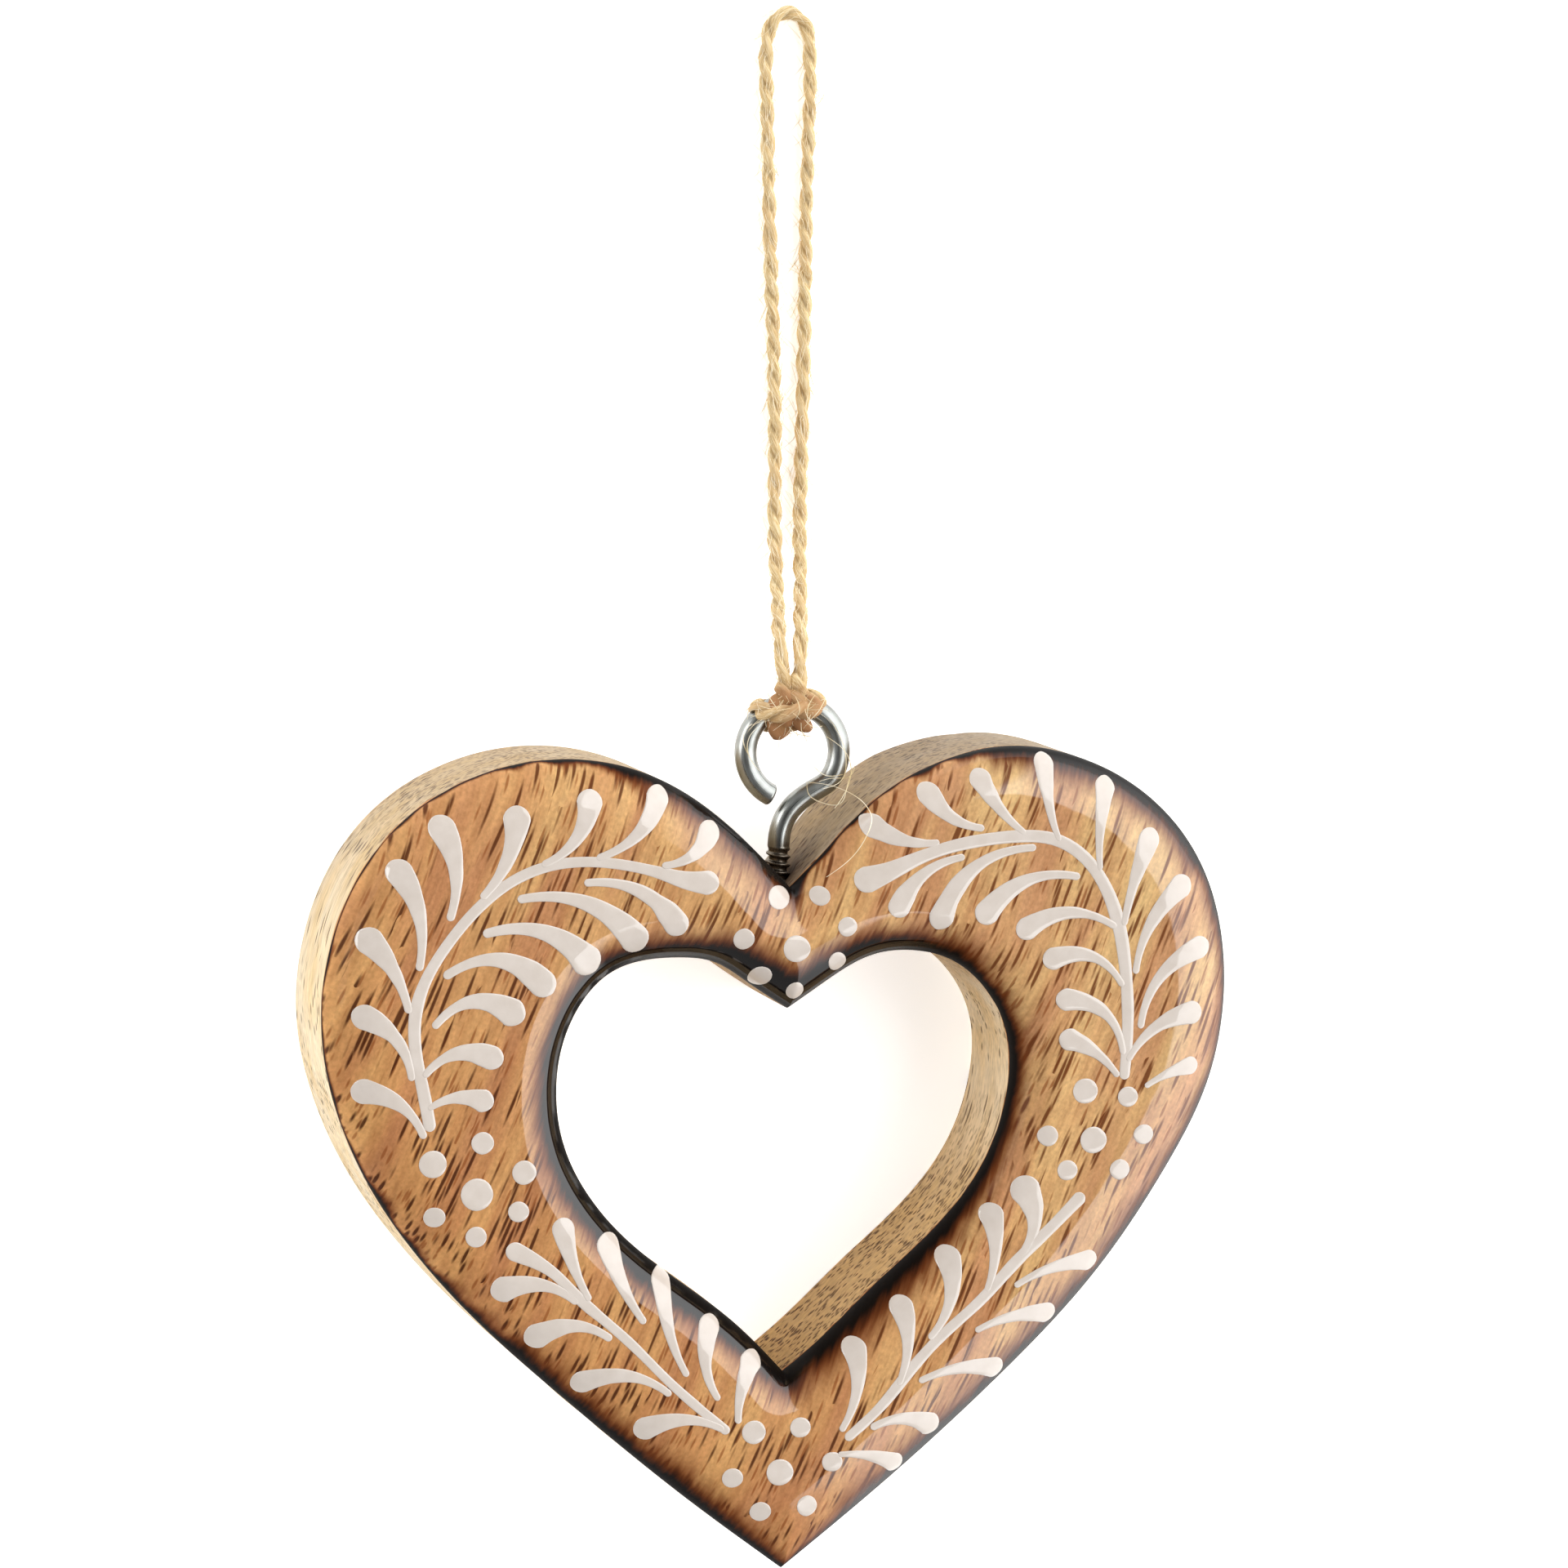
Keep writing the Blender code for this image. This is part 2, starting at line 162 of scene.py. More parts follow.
def spline(knots, count):
    """Points on the natural cubic curve through the knots, whose parameter is their chord length."""
    knots = np.asarray(knots, float)
    span = np.linalg.norm(np.diff(knots, axis=0), axis=1)
    at = np.concatenate([[0.0], np.cumsum(span)])
    matrix, pull = np.eye(len(knots)), np.zeros_like(knots)
    for i in range(1, len(knots) - 1):
        matrix[i, i - 1 : i + 2] = span[i - 1], 2 * (span[i - 1] + span[i]), span[i]
        pull[i] = 6 * ((knots[i + 1] - knots[i]) / span[i] - (knots[i] - knots[i - 1]) / span[i - 1])
    bend = np.linalg.solve(matrix, pull)
    t = np.linspace(0.0, at[-1], count)
    i = np.clip(np.searchsorted(at, t, side="right") - 1, 0, len(span) - 1)
    before, after = ((at[i + 1] - t) / span[i])[:, None], ((t - at[i]) / span[i])[:, None]
    curve = before * knots[i] + after * knots[i + 1]
    sag = (before**3 - before) * bend[i] + (after**3 - after) * bend[i + 1]
    return curve + sag * span[i, None] ** 2 / 6


def unit(vectors):
    """Vectors of length 1 in the same directions."""
    return vectors / np.linalg.norm(vectors, axis=-1, keepdims=True)


def length_along(points):
    """Distance of each point from the first one, along the line."""
    return np.concatenate([[0.0], np.cumsum(np.linalg.norm(np.diff(points, axis=0), axis=1))])


def even_points(points, count):
    """The line again, as points at equal distances along it."""
    along = length_along(points)
    at = np.linspace(0.0, along[-1], count)
    return np.stack([np.interp(at, along, column) for column in points.T], axis=1)


def heart_loop(cleft, left, right, tip):
    """Closed outline from the cleft down the left side to the tip and up the right side, fitted
    between -1 and 1 across and from the tip's height upwards."""
    down = even_points(spline([cleft, *left, tip], 4000), HALF_STATIONS + 1)
    up = even_points(spline([cleft, *right, tip], 4000), HALF_STATIONS + 1)[::-1]
    loop = np.concatenate([down[:-1], up[:-1]])
    low, high = loop.min(axis=0), loop.max(axis=0)
    loop[:, 0] = 2 * (loop[:, 0] - low[0]) / (high[0] - low[0]) - 1
    loop[:, 1] = (loop[:, 1] - low[1]) / (high[1] - low[1])
    return loop


def from_edge(loop, points):
    """Nearest place of a closed outline to each point, and how far inside the outline the point
    lies, below zero outside: the outline runs with its inside on the left."""
    side = np.roll(loop, -1, axis=0) - loop
    size = (side**2).sum(axis=1)
    nearest, inside = [], []
    for some in np.array_split(points, 1 + len(points) // 1500):
        reach = some[:, None, :] - loop
        share = np.clip((reach * side).sum(axis=2) / size, 0.0, 1.0)
        off = reach - share[:, :, None] * side
        far = (off**2).sum(axis=2)
        each = np.arange(len(some))
        pick = far.argmin(axis=1)
        gap = off[each, pick]
        turn = side[pick, 0] * gap[:, 1] - side[pick, 1] * gap[:, 0]
        nearest.append(some - gap)
        inside.append(np.sqrt(far[each, pick]) * np.where(turn >= 0, 1, -1))
    return np.concatenate(nearest), np.concatenate(inside)


def rolled(distance, width):
    """Height share of a rolled edge: a quarter of an ellipse, 0 at the side and 1 past its width."""
    inside = 1.0 - np.clip(distance / width, 0.0, 1.0)
    return np.sqrt(1.0 - inside**2)


def ripple(share, waves, seed):
    """Closed sine waves of 6 to 70 turns round a loop, added up to about -1 to 1."""
    draw = np.random.default_rng(seed)
    turns = draw.integers(6, 70, waves)[:, None]
    starts = draw.uniform(0, 2 * math.pi, waves)[:, None]
    heights = draw.uniform(0.4, 1.0, waves)[:, None]
    return (heights * np.sin(2 * math.pi * turns * share + starts)).sum(axis=0) / math.sqrt(waves)


def ring_faces(rows, columns, joined):
    """Quads between rows of a grid whose last column joins its first; joined adds last row to first."""
    row = np.arange(rows if joined else rows - 1)[:, None]
    column = np.arange(columns)[None, :]
    right, above = (column + 1) % columns, (row + 1) % rows
    quads = [row * columns + column, row * columns + right, above * columns + right, above * columns + column]
    return np.stack(quads, axis=2).reshape(-1, 4)


def tube_faces(rows, sides, first=0):
    """Quads of a tube of rows of so many points from the first point on, and a cap at each end."""
    caps = [list(range(start, start + sides)) for start in (first, first + (rows - 1) * sides)]
    return (ring_faces(rows, sides, False) + first).tolist() + caps


def make_piece(name, points, faces, sharp_degrees, material_list, attributes):
    """Object at the origin with its place in its mesh, faces outwards, smooth except over sharp
    edges. Attributes with one column are numbers, those with three are vectors."""
    mesh = bpy.data.meshes.new(name)
    mesh.from_pydata(np.asarray(points).tolist(), [], faces)
    work = bmesh.new()
    work.from_mesh(mesh)
    bmesh.ops.recalc_face_normals(work, faces=work.faces)
    work.to_mesh(mesh)
    work.free()
    mesh.shade_smooth()
    mesh.set_sharp_from_angle(angle=math.radians(sharp_degrees))
    for label, values in attributes.items():
        values = np.asarray(values, np.float32)
        kind, field = ("FLOAT", "value") if values.ndim == 1 else ("FLOAT_VECTOR", "vector")
        mesh.attributes.new(label, kind, "POINT").data.foreach_set(field, values.ravel())
    for material in material_list:
        mesh.materials.append(material)
    piece = bpy.data.objects.new(name, mesh)
    bpy.context.scene.collection.objects.link(piece)
    return piece


def tube_lie(along, radius, angle):
    """For each point of a tube, its distance along it and its two places across it, as if straight."""
    across = [radius * np.cos(angle), radius * np.sin(angle)]
    return np.stack([np.broadcast_to(along[:, None], radius.shape), *across], axis=2).reshape(-1, 3)


def linear(colour):
    """Linear colour with alpha 1 from an sRGB hex value."""
    channels = np.array([int(colour[i : i + 2], 16) for i in (1, 3, 5)]) / 255
    curve = np.where(channels <= 0.04045, channels / 12.92, ((channels + 0.055) / 1.055) ** 2.4)
    return (*curve.tolist(), 1.0)


def new_material(name):
    """Empty node material with its shader and output joined: (material, tree, shader)."""
    material = bpy.data.materials.new(name)
    material.use_nodes = True
    tree = material.node_tree
    return material, tree, tree.nodes["Principled BSDF"]


def wire_up(tree, node, values, links):
    """Sets a node's input values and joins links into its inputs."""
    for key, value in values.items():
        node.inputs[key].default_value = value
    for key, source in links.items():
        tree.links.new(source, node.inputs[key])


def add(tree, kind, settings=None, values=None, links=None, stops=None):
    """Adds one node, with its settings, input values, links into its inputs and ramp stops."""
    made = tree.nodes.new("ShaderNode" + kind)
    for key, value in (settings or {}).items():
        setattr(made, key, value)
    wire_up(tree, made, values or {}, links or {})
    for i, (place, colour) in enumerate(stops or []):
        element = made.color_ramp.elements[i] if i < 2 else made.color_ramp.elements.new(place)
        element.position = place
        element.color = linear(colour)
    return made


def attribute(tree, name, output="Fac"):
    """An attribute of the mesh, as a number or, from the output Vector, as a vector."""
    return add(tree, "Attribute", {"attribute_name": name}).outputs[output]


def ranged(tree, value, start, end, low=0.0, high=1.0):
    """A value between start and end brought to between low and high, and no further."""
    values = {"From Min": start, "From Max": end, "To Min": low, "To Max": high}
    return add(tree, "MapRange", values=values, links={"Value": value}).outputs[0]


def arithmetic(tree, operation, first, second):
    """One sum on an output and a second output or a number."""
    plain = isinstance(second, float)
    values, links = ({1: second}, {0: first}) if plain else ({}, {0: first, 1: second})
    return add(tree, "Math", {"operation": operation}, values, links).outputs[0]


def drawn_out(tree, vector, length, width):
    """A vector counted in lengths along its first axis and in widths along the other two."""
    scale = (1 / length, 1 / width, 1 / width)
    return add(tree, "Mapping", values={"Scale": scale}, links={"Vector": vector}).outputs[0]


def noise(tree, vector, size, detail):
    """Cloudy noise from 0 to 1, with clouds of a size."""
    values = {"Scale": 1 / size, "Detail": detail}
    return add(tree, "TexNoise", values=values, links={"Vector": vector}).outputs["Fac"]


def bump(tree, height, strength, depth):
    """Relief of a height from 0 to 1, as a direction for a shader's normal."""
    values = {"Strength": strength, "Distance": depth}
    return add(tree, "Bump", values=values, links={"Height": height}).outputs[0]


def ramp(tree, share, stops):
    """Colour at a share of the way through (place, colour) stops."""
    return add(tree, "ValToRGB", links={"Fac": share}, stops=stops).outputs["Color"]


outer = heart_loop(HEART_CLEFT, HEART_LEFT, HEART_RIGHT, HEART_TIP) * [HEART_WIDTH / 2, HEART_HEIGHT]
hole = heart_loop(HOLE_CLEFT, HOLE_LEFT, HOLE_RIGHT, HOLE_TIP)
hole_width = HEART_WIDTH - LEFT_RIM - RIGHT_RIM
hole_height = (outer[0, 1] - CLEFT_RIM - TIP_RIM) / hole[0, 1]
hole = hole * [hole_width / 2, hole_height] + [(LEFT_RIM - RIGHT_RIM) / 2, TIP_RIM]
outer[:, 1] -= WHOLE_LENGTH / 2
hole[:, 1] -= WHOLE_LENGTH / 2
cleft = outer[0].copy()
side_height = THICKNESS - ROLL_DROP
round_share = np.arange(2 * HALF_STATIONS) / (2 * HALF_STATIONS)

run = hole - outer
run_length = np.linalg.norm(run, axis=1)
roll_angles = np.radians(90.0 * np.arange(ROLL_STEPS + 1) / ROLL_STEPS)
from_outer = [OUTER_ROLL * (1 - math.cos(a)) / run_length for a in roll_angles]
from_hole = [1 - HOLE_ROLL * (1 - math.cos(a)) / run_length for a in roll_angles[::-1]]
flat_steps = np.arange(1, FLAT_ROWS + 1) / (FLAT_ROWS + 1)
flats = [from_outer[-1] * (1 - step) + from_hole[0] * step for step in flat_steps]
inset = SAWN_CORNER / run_length
side_levels = np.linspace(SAWN_CORNER, side_height - 2.2 * LACQUER_EDGE, SIDE_ROWS)
outer_saw = SAW_WAVER * ripple(round_share, 9, 11) / run_length
hole_saw = SAW_WAVER * ripple(round_share, 9, 12) / run_length


def heart_row(share, height, coated):
    """Row of the board's skin: share of the way from outline to hole, height, and 1 if lacquered."""
    flat = outer + run * np.reshape(share, (-1, 1))
    return np.column_stack([flat, np.broadcast_to(height, len(flat)), np.full(len(flat), coated)])


def saw_bulge(level):
    """How much of the saw's waver shows at a level: none at the corners and all half way up."""
    return math.sin(math.pi * level / side_height)


outer_lacquer = side_height - LACQUER_EDGE * (1 + LACQUER_RAGGED * ripple(round_share, 12, 13))
hole_lacquer = side_height - LACQUER_EDGE * (1 + LACQUER_RAGGED * ripple(round_share, 12, 14))
slant = np.interp(round_share, *np.transpose(SAW_SLANT)) * MM / run_length
rows = [heart_row(inset - slant, 0.0, 0)]
for level in side_levels:
    rows.append(heart_row(outer_saw * saw_bulge(level) - slant * (1 - level / side_height), level, 0))
rows.append(heart_row(0.0, outer_lacquer, 1))
for share in [*from_outer, *flats, *from_hole]:
    flat = outer + run * np.reshape(share, (-1, 1))
    rise_outer = rolled(np.abs(from_edge(outer, flat)[1]), OUTER_ROLL)
    rise_hole = rolled(np.abs(from_edge(hole, flat)[1]), HOLE_ROLL)
    rows.append(heart_row(share, side_height + ROLL_DROP * rise_outer * rise_hole, 1))
rows.append(heart_row(1.0, hole_lacquer, 0))
rows += [heart_row(1 + hole_saw * saw_bulge(level), level, 0) for level in side_levels[::-1]]
rows.append(heart_row(1 - inset, 0.0, 0))
rows += [heart_row(1 - step, 0.0, 0) for step in np.arange(1, BACK_ROWS + 1) / (BACK_ROWS + 1)]
skin = np.array(rows)
heart_points = skin[:, :, :3].reshape(-1, 3)
coated_row = skin[:, 0, 3]

# The screw's hole breaks out in the cleft, a little wider than its thread
SCREW_HOLLOW = 1.9 * MM
SCREW_HOLLOW_DEPTH = 1.3 * MM
aside = np.hypot(heart_points[:, 0] - cleft[0], heart_points[:, 2] - THICKNESS / 2)
in_cleft = heart_points[:, 1] > cleft[1] - 0.5 * MM
hollow = np.clip(1 - (aside / SCREW_HOLLOW) ** 2, 0, 1) * in_cleft
heart_points[:, 1] -= SCREW_HOLLOW_DEPTH * hollow
from_screw = np.linalg.norm(heart_points - [*cleft, THICKNESS / 2], axis=1)

outline_way = unit(np.roll(outer, -1, axis=0) - np.roll(outer, 1, axis=0))
hole_way = unit(np.roll(hole, -1, axis=0) - np.roll(hole, 1, axis=0))


def across_grain(ahead):
    """How squarely a wall cuts the grain, from 0 along it to 1 across it."""
    return np.abs(ahead[:, 0] * math.sin(WALL_GRAIN_ANGLE) - ahead[:, 1] * math.cos(WALL_GRAIN_ANGLE))


outer_rows = 2 + SIDE_ROWS
end_grain = np.tile(across_grain(hole_way), (len(rows), 1))
end_grain[:outer_rows] = OUTER_PORES * across_grain(outline_way)
end_grain[-BACK_ROWS:] = BACK_PORES
# Painted shade on the sides facing the loop, which are greyed partly as dust and partly as shade.
dust_and_shade = np.zeros_like(end_grain)
dust_and_shade[:outer_rows] = np.clip(-outline_way[:, 0], 0, 1) * np.where(outer[:, 0] < cleft[0], *DUST_AND_SHADE_SHARES)
# Painted shade round the screw: the cleft and the right lobe's flank darken partly as soil and partly as
# shade.
soil_and_shade_near, soil_and_shade_far = [np.clip(1 - from_screw / reach, 0, 1) for reach in SOIL_AND_SHADE_REACH]
soil_and_shade = np.clip(0.8 * soil_and_shade_near + 0.3 * soil_and_shade_far, 0, 0.95)


def round_loop(table):
    """A table over shares of the way round, read at every station of every row."""
    return np.tile(np.interp(round_share, *np.transpose(table)), len(rows))


def beyond_char(reach, table, wander):
    """How far points lie beyond the char of an edge, as a share of the brown's fade: below 0 inside
    the char, 1 where the brown ends."""
    char = round_loop(table) + wander * np.tile(ripple(round_share, 16, 16), len(rows))
    return (reach / MM - char) / np.interp(char, *np.transpose(BROWN_FADE))


above_edge = heart_points[:, 2] - side_height
in_hole = np.abs(from_edge(hole, heart_points[:, :2])[1])
outer_reach = np.hypot(from_edge(outer, heart_points[:, :2])[1], above_edge)
hole_reach = np.hypot(in_hole, above_edge)
front_scorch = np.minimum(beyond_char(outer_reach, CHAR_OUTER, OUTER_WANDER),
                          beyond_char(hole_reach, CHAR_HOLE, HOLE_WANDER))
side_char = (SIDE_CHAR + SIDE_WANDER * np.tile(ripple(round_share, 16, 17), len(rows))) * MM
unscorched = np.where(above_edge < 0, (-above_edge - side_char) / SIDE_FADE, front_scorch)
glossy = [
    share + (1 - share) * np.clip((reach - DULL_START) / (DULL_STOP - DULL_START), 0, 1)
    for share, reach in ((round_loop(OUTER_GLOSS), outer_reach), (round_loop(HOLE_GLOSS), hole_reach))
]
lip = BARE_LIP * (1 + LIP_RAGGED * np.tile(ripple(round_share, 12, 15), len(rows)))
left_half = round_loop([(0.12, 0.0), (0.16, 1.0), (0.5, 1.0), (0.52, 0.0)])
lacquered = 1 - left_half * np.clip(1 - (in_hole - lip) / (0.15 * MM), 0, 1)
burnt_rim = np.interp(np.minimum(outer_reach, hole_reach) / MM, *np.transpose(BURNT_DULL))
gloss = glossy[0] * glossy[1] * lacquered * burnt_rim

# Open-pored light brown hardwood, torch-scorched, sealed with clear gloss lacquer. The eye sees
# dark dashes where the pores are cut open, slanting up to the right, under a mirror-like coat.
LOW_TONES = "#B37A50", "#C18956", "#CB965E"  # pinkish, middle and golden, at the heart's lower left
HIGH_TONES = "#C59267", "#D0A36F", "#DAB37B"  # and at its upper right
FLECK_RED = "#82451F"
LOW_PORE, HIGH_PORE = "#3C1606", "#683618"
SCORCH_BROWN = "#6A3414"
SCORCH_BLACK = "#0E0907"
LACQUER_WAVE = 3.2 * MM  # size of the soft waves of the brushed lacquer


def grain_textures(tree, height_share, pore_width, fleck_length):
    """Grain shared by front and sides, along, across and through the wood and bent a little: open
    pores as stretched cells near their seed points, and stretched cloudy streaks. Heights count by
    a share, so that grain on a rolled edge still runs out in streaks. Widths of pores and lengths of
    flecks are in mm."""
    grain = add(tree, "TexCoord").outputs["Object"]
    for setting, value in (("Scale", (1.0, 1.0, height_share)), ("Rotation", (0, 0, -GRAIN_ANGLE)),
                           ("Rotation", (0, -GRAIN_DIVE, 0))):
        grain = add(tree, "Mapping", values={setting: value}, links={"Vector": grain}).outputs[0]
    sway = add(tree, "TexNoise", values={"Scale": 45.0, "Detail": 1.0}, links={"Vector": grain})
    grain = add(tree, "VectorMath", {"operation": "MULTIPLY_ADD"}, {1: (0.0, 0.0022, 0.0022)},
                {0: sway.outputs["Color"], 2: grain}).outputs[0]
    made = {}
    for label, length_mm, width_mm in (("pore", 8.5, 1.5 * pore_width),
                                       ("fleck", fleck_length, 1.2 * pore_width)):
        vector = drawn_out(tree, grain, length_mm * MM, width_mm * MM)
        made[label] = add(tree, "TexVoronoi", values={"Scale": 1.0}, links={"Vector": vector}).outputs
    for label, length_mm, width_mm in (("streak", 26.0, 4.5), ("crowd", 14.0, 4.0), ("fibre", 5.5, 0.5),
                                       ("mottle", 0.5, 0.36), ("bleed", 7.0, 0.55), ("band", 18.0, 1.1)):
        made[label] = noise(tree, drawn_out(tree, grain, length_mm * MM, width_mm * MM), 1.0, 2.0)
    return made


def pore_mask(tree, cell, crowd, size, share):
    """1 inside open pores: near a cell's seed, in the share of cells that crowd where pores do."""
    near = ranged(tree, cell["Distance"], size, size * 0.55)
    luck = add(tree, "SeparateColor", links={"Color": cell["Color"]}).outputs["Red"]
    chance = ranged(tree, crowd, 0.3, 0.7, share - 0.35, share + 0.35)
    return arithmetic(tree, "MULTIPLY", near, arithmetic(tree, "LESS_THAN", luck, chance))


def blend_colours(tree, share, first, second, mode="MIX"):
    """Mix node's links: a colour or an output for each side, and a number or an output for the share."""
    made = add(tree, "Mix", {"data_type": "RGBA", "blend_type": mode, "clamp_factor": True})
    for socket, given in ((made.inputs["Factor"], share), (made.inputs[6], first), (made.inputs[7], second)):
        if isinstance(given, str):
            socket.default_value = linear(given)
        elif isinstance(given, float):
            socket.default_value = given
        else:
            tree.links.new(given, socket)
    return made.outputs[2]


def scorched(tree, bleed, ground):
    """Ground colour burnt by how far it lies beyond the char: black inside it, through brown back
    to bare wood. The burn bleeds unevenly along the grain."""
    bled = ranged(tree, bleed, 0.3, 0.7, -0.11, 0.11)
    uneven = arithmetic(tree, "ADD", attribute(tree, "unscorched"), bled)
    for colour, start, end in ((SCORCH_BROWN, 1.15, 0.2), (SCORCH_BLACK, 0.55, -0.05)):
        limits = {"From Min": start, "From Max": end}
        share = add(tree, "MapRange", {"interpolation_type": "SMOOTHSTEP"}, limits, {"Value": uneven})
        ground = blend_colours(tree, share.outputs[0], ground, colour)
    return ground


def lacquer_over(tree, shader, ground, values, links):
    """Lays clear gloss lacquer over a dull ground colour. Its face waves softly, as it was brushed."""
    wave = noise(tree, add(tree, "TexCoord").outputs["Object"], LACQUER_WAVE, 1.0)
    plain = {"Roughness": 0.6, "Specular IOR Level": 0.03, "Coat Roughness": 0.035, "Coat IOR": 1.55}
    joined = {"Base Color": ground, "Coat Normal": bump(tree, wave, 0.35, 0.05 * MM)}
    wire_up(tree, shader, plain | values, joined | links)


front_wood, tree, shader = new_material("scorched_lacquered_wood")
textures = grain_textures(tree, 0.2, 0.38, 4.5)
low_tone, high_tone = [
    ramp(tree, textures["streak"], [(0.34, pinkish), (0.64, golden), (0.48, middle)])
    for pinkish, middle, golden in (LOW_TONES, HIGH_TONES)
]
to_upper_right = add(tree, "VectorMath", {"operation": "DOT_PRODUCT"}, {1: (0.79, 0.62, 0.0)},
                     {0: add(tree, "TexCoord").outputs["Object"]}).outputs["Value"]
high_share = ranged(tree, to_upper_right, -0.035, 0.035)
ground = blend_colours(tree, high_share, low_tone, high_tone)
for label, dark, bright in (("fibre", 0.91, 1.08), ("mottle", 0.86, 1.13)):
    tint = ranged(tree, textures[label], 0.3, 0.7, dark, bright)
    ground = blend_colours(tree, 1.0, ground, tint, "MULTIPLY")
ground = blend_colours(tree, ranged(tree, textures["band"], 0.3, 0.65, 0.3, 0.0), ground, FLECK_RED)
flecks = pore_mask(tree, textures["fleck"], textures["crowd"], 0.42, 0.5)
ground = blend_colours(tree, arithmetic(tree, "MULTIPLY", flecks, 0.7), ground, FLECK_RED)
pores = pore_mask(tree, textures["pore"], textures["crowd"], 0.44, 0.62)
pore_dark = blend_colours(tree, high_share, LOW_PORE, HIGH_PORE)
ground = blend_colours(tree, arithmetic(tree, "MULTIPLY", pores, 0.92), ground, pore_dark)
relief = bump(tree, textures["fibre"], 0.4, 0.12 * MM)
lacquer_over(tree, shader, scorched(tree, textures["bleed"], ground), {},
             {"Coat Weight": attribute(tree, "gloss"), "Normal": relief})

# The same wood bare from the saw. It is pale and dull where cut along the grain, and browner and
# speckled with open pores where cut across it; dust and painted shade grey the side towards the
# loop, and soil and painted shade darken the cleft round the screw.
SIDE_CREAM, SIDE_BUFF, END_BROWN = "#E8D6B8", "#E0C290", "#BF9860"
# Pore brown, then the brown painted for soil and shade round the screw and the grey painted for dust and
# shade on the sides facing the loop.
SIDE_PORE, SOIL_AND_SHADE_BROWN, DUST_AND_SHADE_GREY = "#4A2C14", "#4C2E18", "#6E6660"
bare_wood, tree, shader = new_material("bare_sawn_wood")
textures = grain_textures(tree, 1.0, 0.5, 1.1)
ground = ramp(tree, textures["streak"], [(0.3, SIDE_BUFF), (0.7, SIDE_CREAM)])
across_share = ranged(tree, attribute(tree, "end_grain"), 0.35, 0.9, 0.0, 0.9)
ground = blend_colours(tree, across_share, ground, END_BROWN)
ground = blend_colours(tree, 1.0, ground, ranged(tree, textures["fibre"], 0.3, 0.7, 0.8, 1.12), "MULTIPLY")
flecks = pore_mask(tree, textures["fleck"], textures["crowd"], 0.5, 0.8)
ground = blend_colours(tree, arithmetic(tree, "MULTIPLY", flecks, across_share), ground, SIDE_PORE)
pores = pore_mask(tree, textures["pore"], textures["crowd"], 0.4, 0.4)
ground = blend_colours(tree, arithmetic(tree, "MULTIPLY", pores, 0.75), ground, SIDE_PORE)
# Dust and painted shade grey the sides facing the loop; soil and painted shade darken the cleft round the
# screw.
for name, colour in (("dust_and_shade", DUST_AND_SHADE_GREY), ("soil_and_shade", SOIL_AND_SHADE_BROWN)):
    ground = blend_colours(tree, attribute(tree, name), ground, colour)
relief = bump(tree, arithmetic(tree, "SUBTRACT", textures["fibre"], pores), 0.7, 0.15 * MM)
wire_up(tree, shader, {"Roughness": 0.8, "Specular IOR Level": 0.3},
        {"Base Color": scorched(tree, textures["bleed"], ground), "Normal": relief})

heart_faces = ring_faces(len(rows), 2 * HALF_STATIONS, True)
heart = make_piece("heart_board", heart_points, heart_faces.tolist(), 35, [front_wood, bare_wood],
                   {"unscorched": unscorched, "end_grain": end_grain.ravel(), "dust_and_shade": dust_and_shade.ravel(),
                    "soil_and_shade": soil_and_shade, "gloss": gloss})
bare_face = np.repeat(1 - coated_row, 2 * HALF_STATIONS).astype(np.int32)
heart.data.polygons.foreach_set("material_index", bare_face)
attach(heart, "root")
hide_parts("heart")

# Painted sprigs and dots
# Off-white paint laid on by hand with a loaded brush, heads first: each leaf starts as a round
# blob and thins towards the stem. The lacquer runs over it, so it gleams with the wood.
PAINT_LIFT = 0.05 * MM
PAINT_SECTION = np.array([(-1.0, -0.8), (-0.97, 0.5), (-0.86, 0.9), (-0.5, 1.0), (0.0, 1.0), (0.5, 1.0),
                          (0.86, 0.9), (0.97, 0.5), (1.0, -0.8), (0.5, -1.0), (-0.5, -1.0)])

# Stems as (x, y, half width) from the base up. Leaves as head x, y, tail x, y, half width of the
# head, and how far the leaf bows to its left on the way to its tail, as a share of its length.
TOP_LEFT_STEM = [
    (526, 1378, 8), (518, 1335, 8), (510, 1295, 8), (510, 1236, 8), (522, 1200, 7.5), (546, 1160, 7),
    (585, 1113, 7), (625, 1081, 7), (668, 1062, 7), (704, 1056, 6.5), (755, 1058, 6.5), (815, 1071, 8),
    (840, 1078, 11), (866, 1081, 15),
]
TOP_LEFT_LEAVES = [
    (447, 1337, 518, 1390, 16, 0.14), (447, 1246, 504, 1319, 16, 0.14), (453, 1153, 500, 1236, 17, 0.07),
    (490, 1070, 514, 1184, 17, 0.1), (542, 1016, 552, 1123, 17, 0.1), (633, 1004, 593, 1097, 17, 0.09),
    (722, 983, 668, 1058, 16, 0.14), (805, 977, 735, 1050, 15, 0.12), (868, 1020, 815, 1060, 15, 0.13),
    (591, 1348, 528, 1356, 14, -0.12), (601, 1295, 522, 1315, 16, -0.18), (627, 1240, 534, 1255, 17, -0.22),
    (664, 1204, 548, 1194, 18, -0.2), (718, 1176, 597, 1143, 19, -0.15), (777, 1149, 639, 1101, 18, -0.14),
    (828, 1131, 720, 1081, 16, -0.14),
]
LOWER_LEFT_STEM = [
    (888, 1751, 6), (815, 1688, 6), (775, 1648, 6), (735, 1613, 6.5), (712, 1593, 7), (680, 1561, 7),
    (656, 1545, 9), (631, 1533, 12),
]
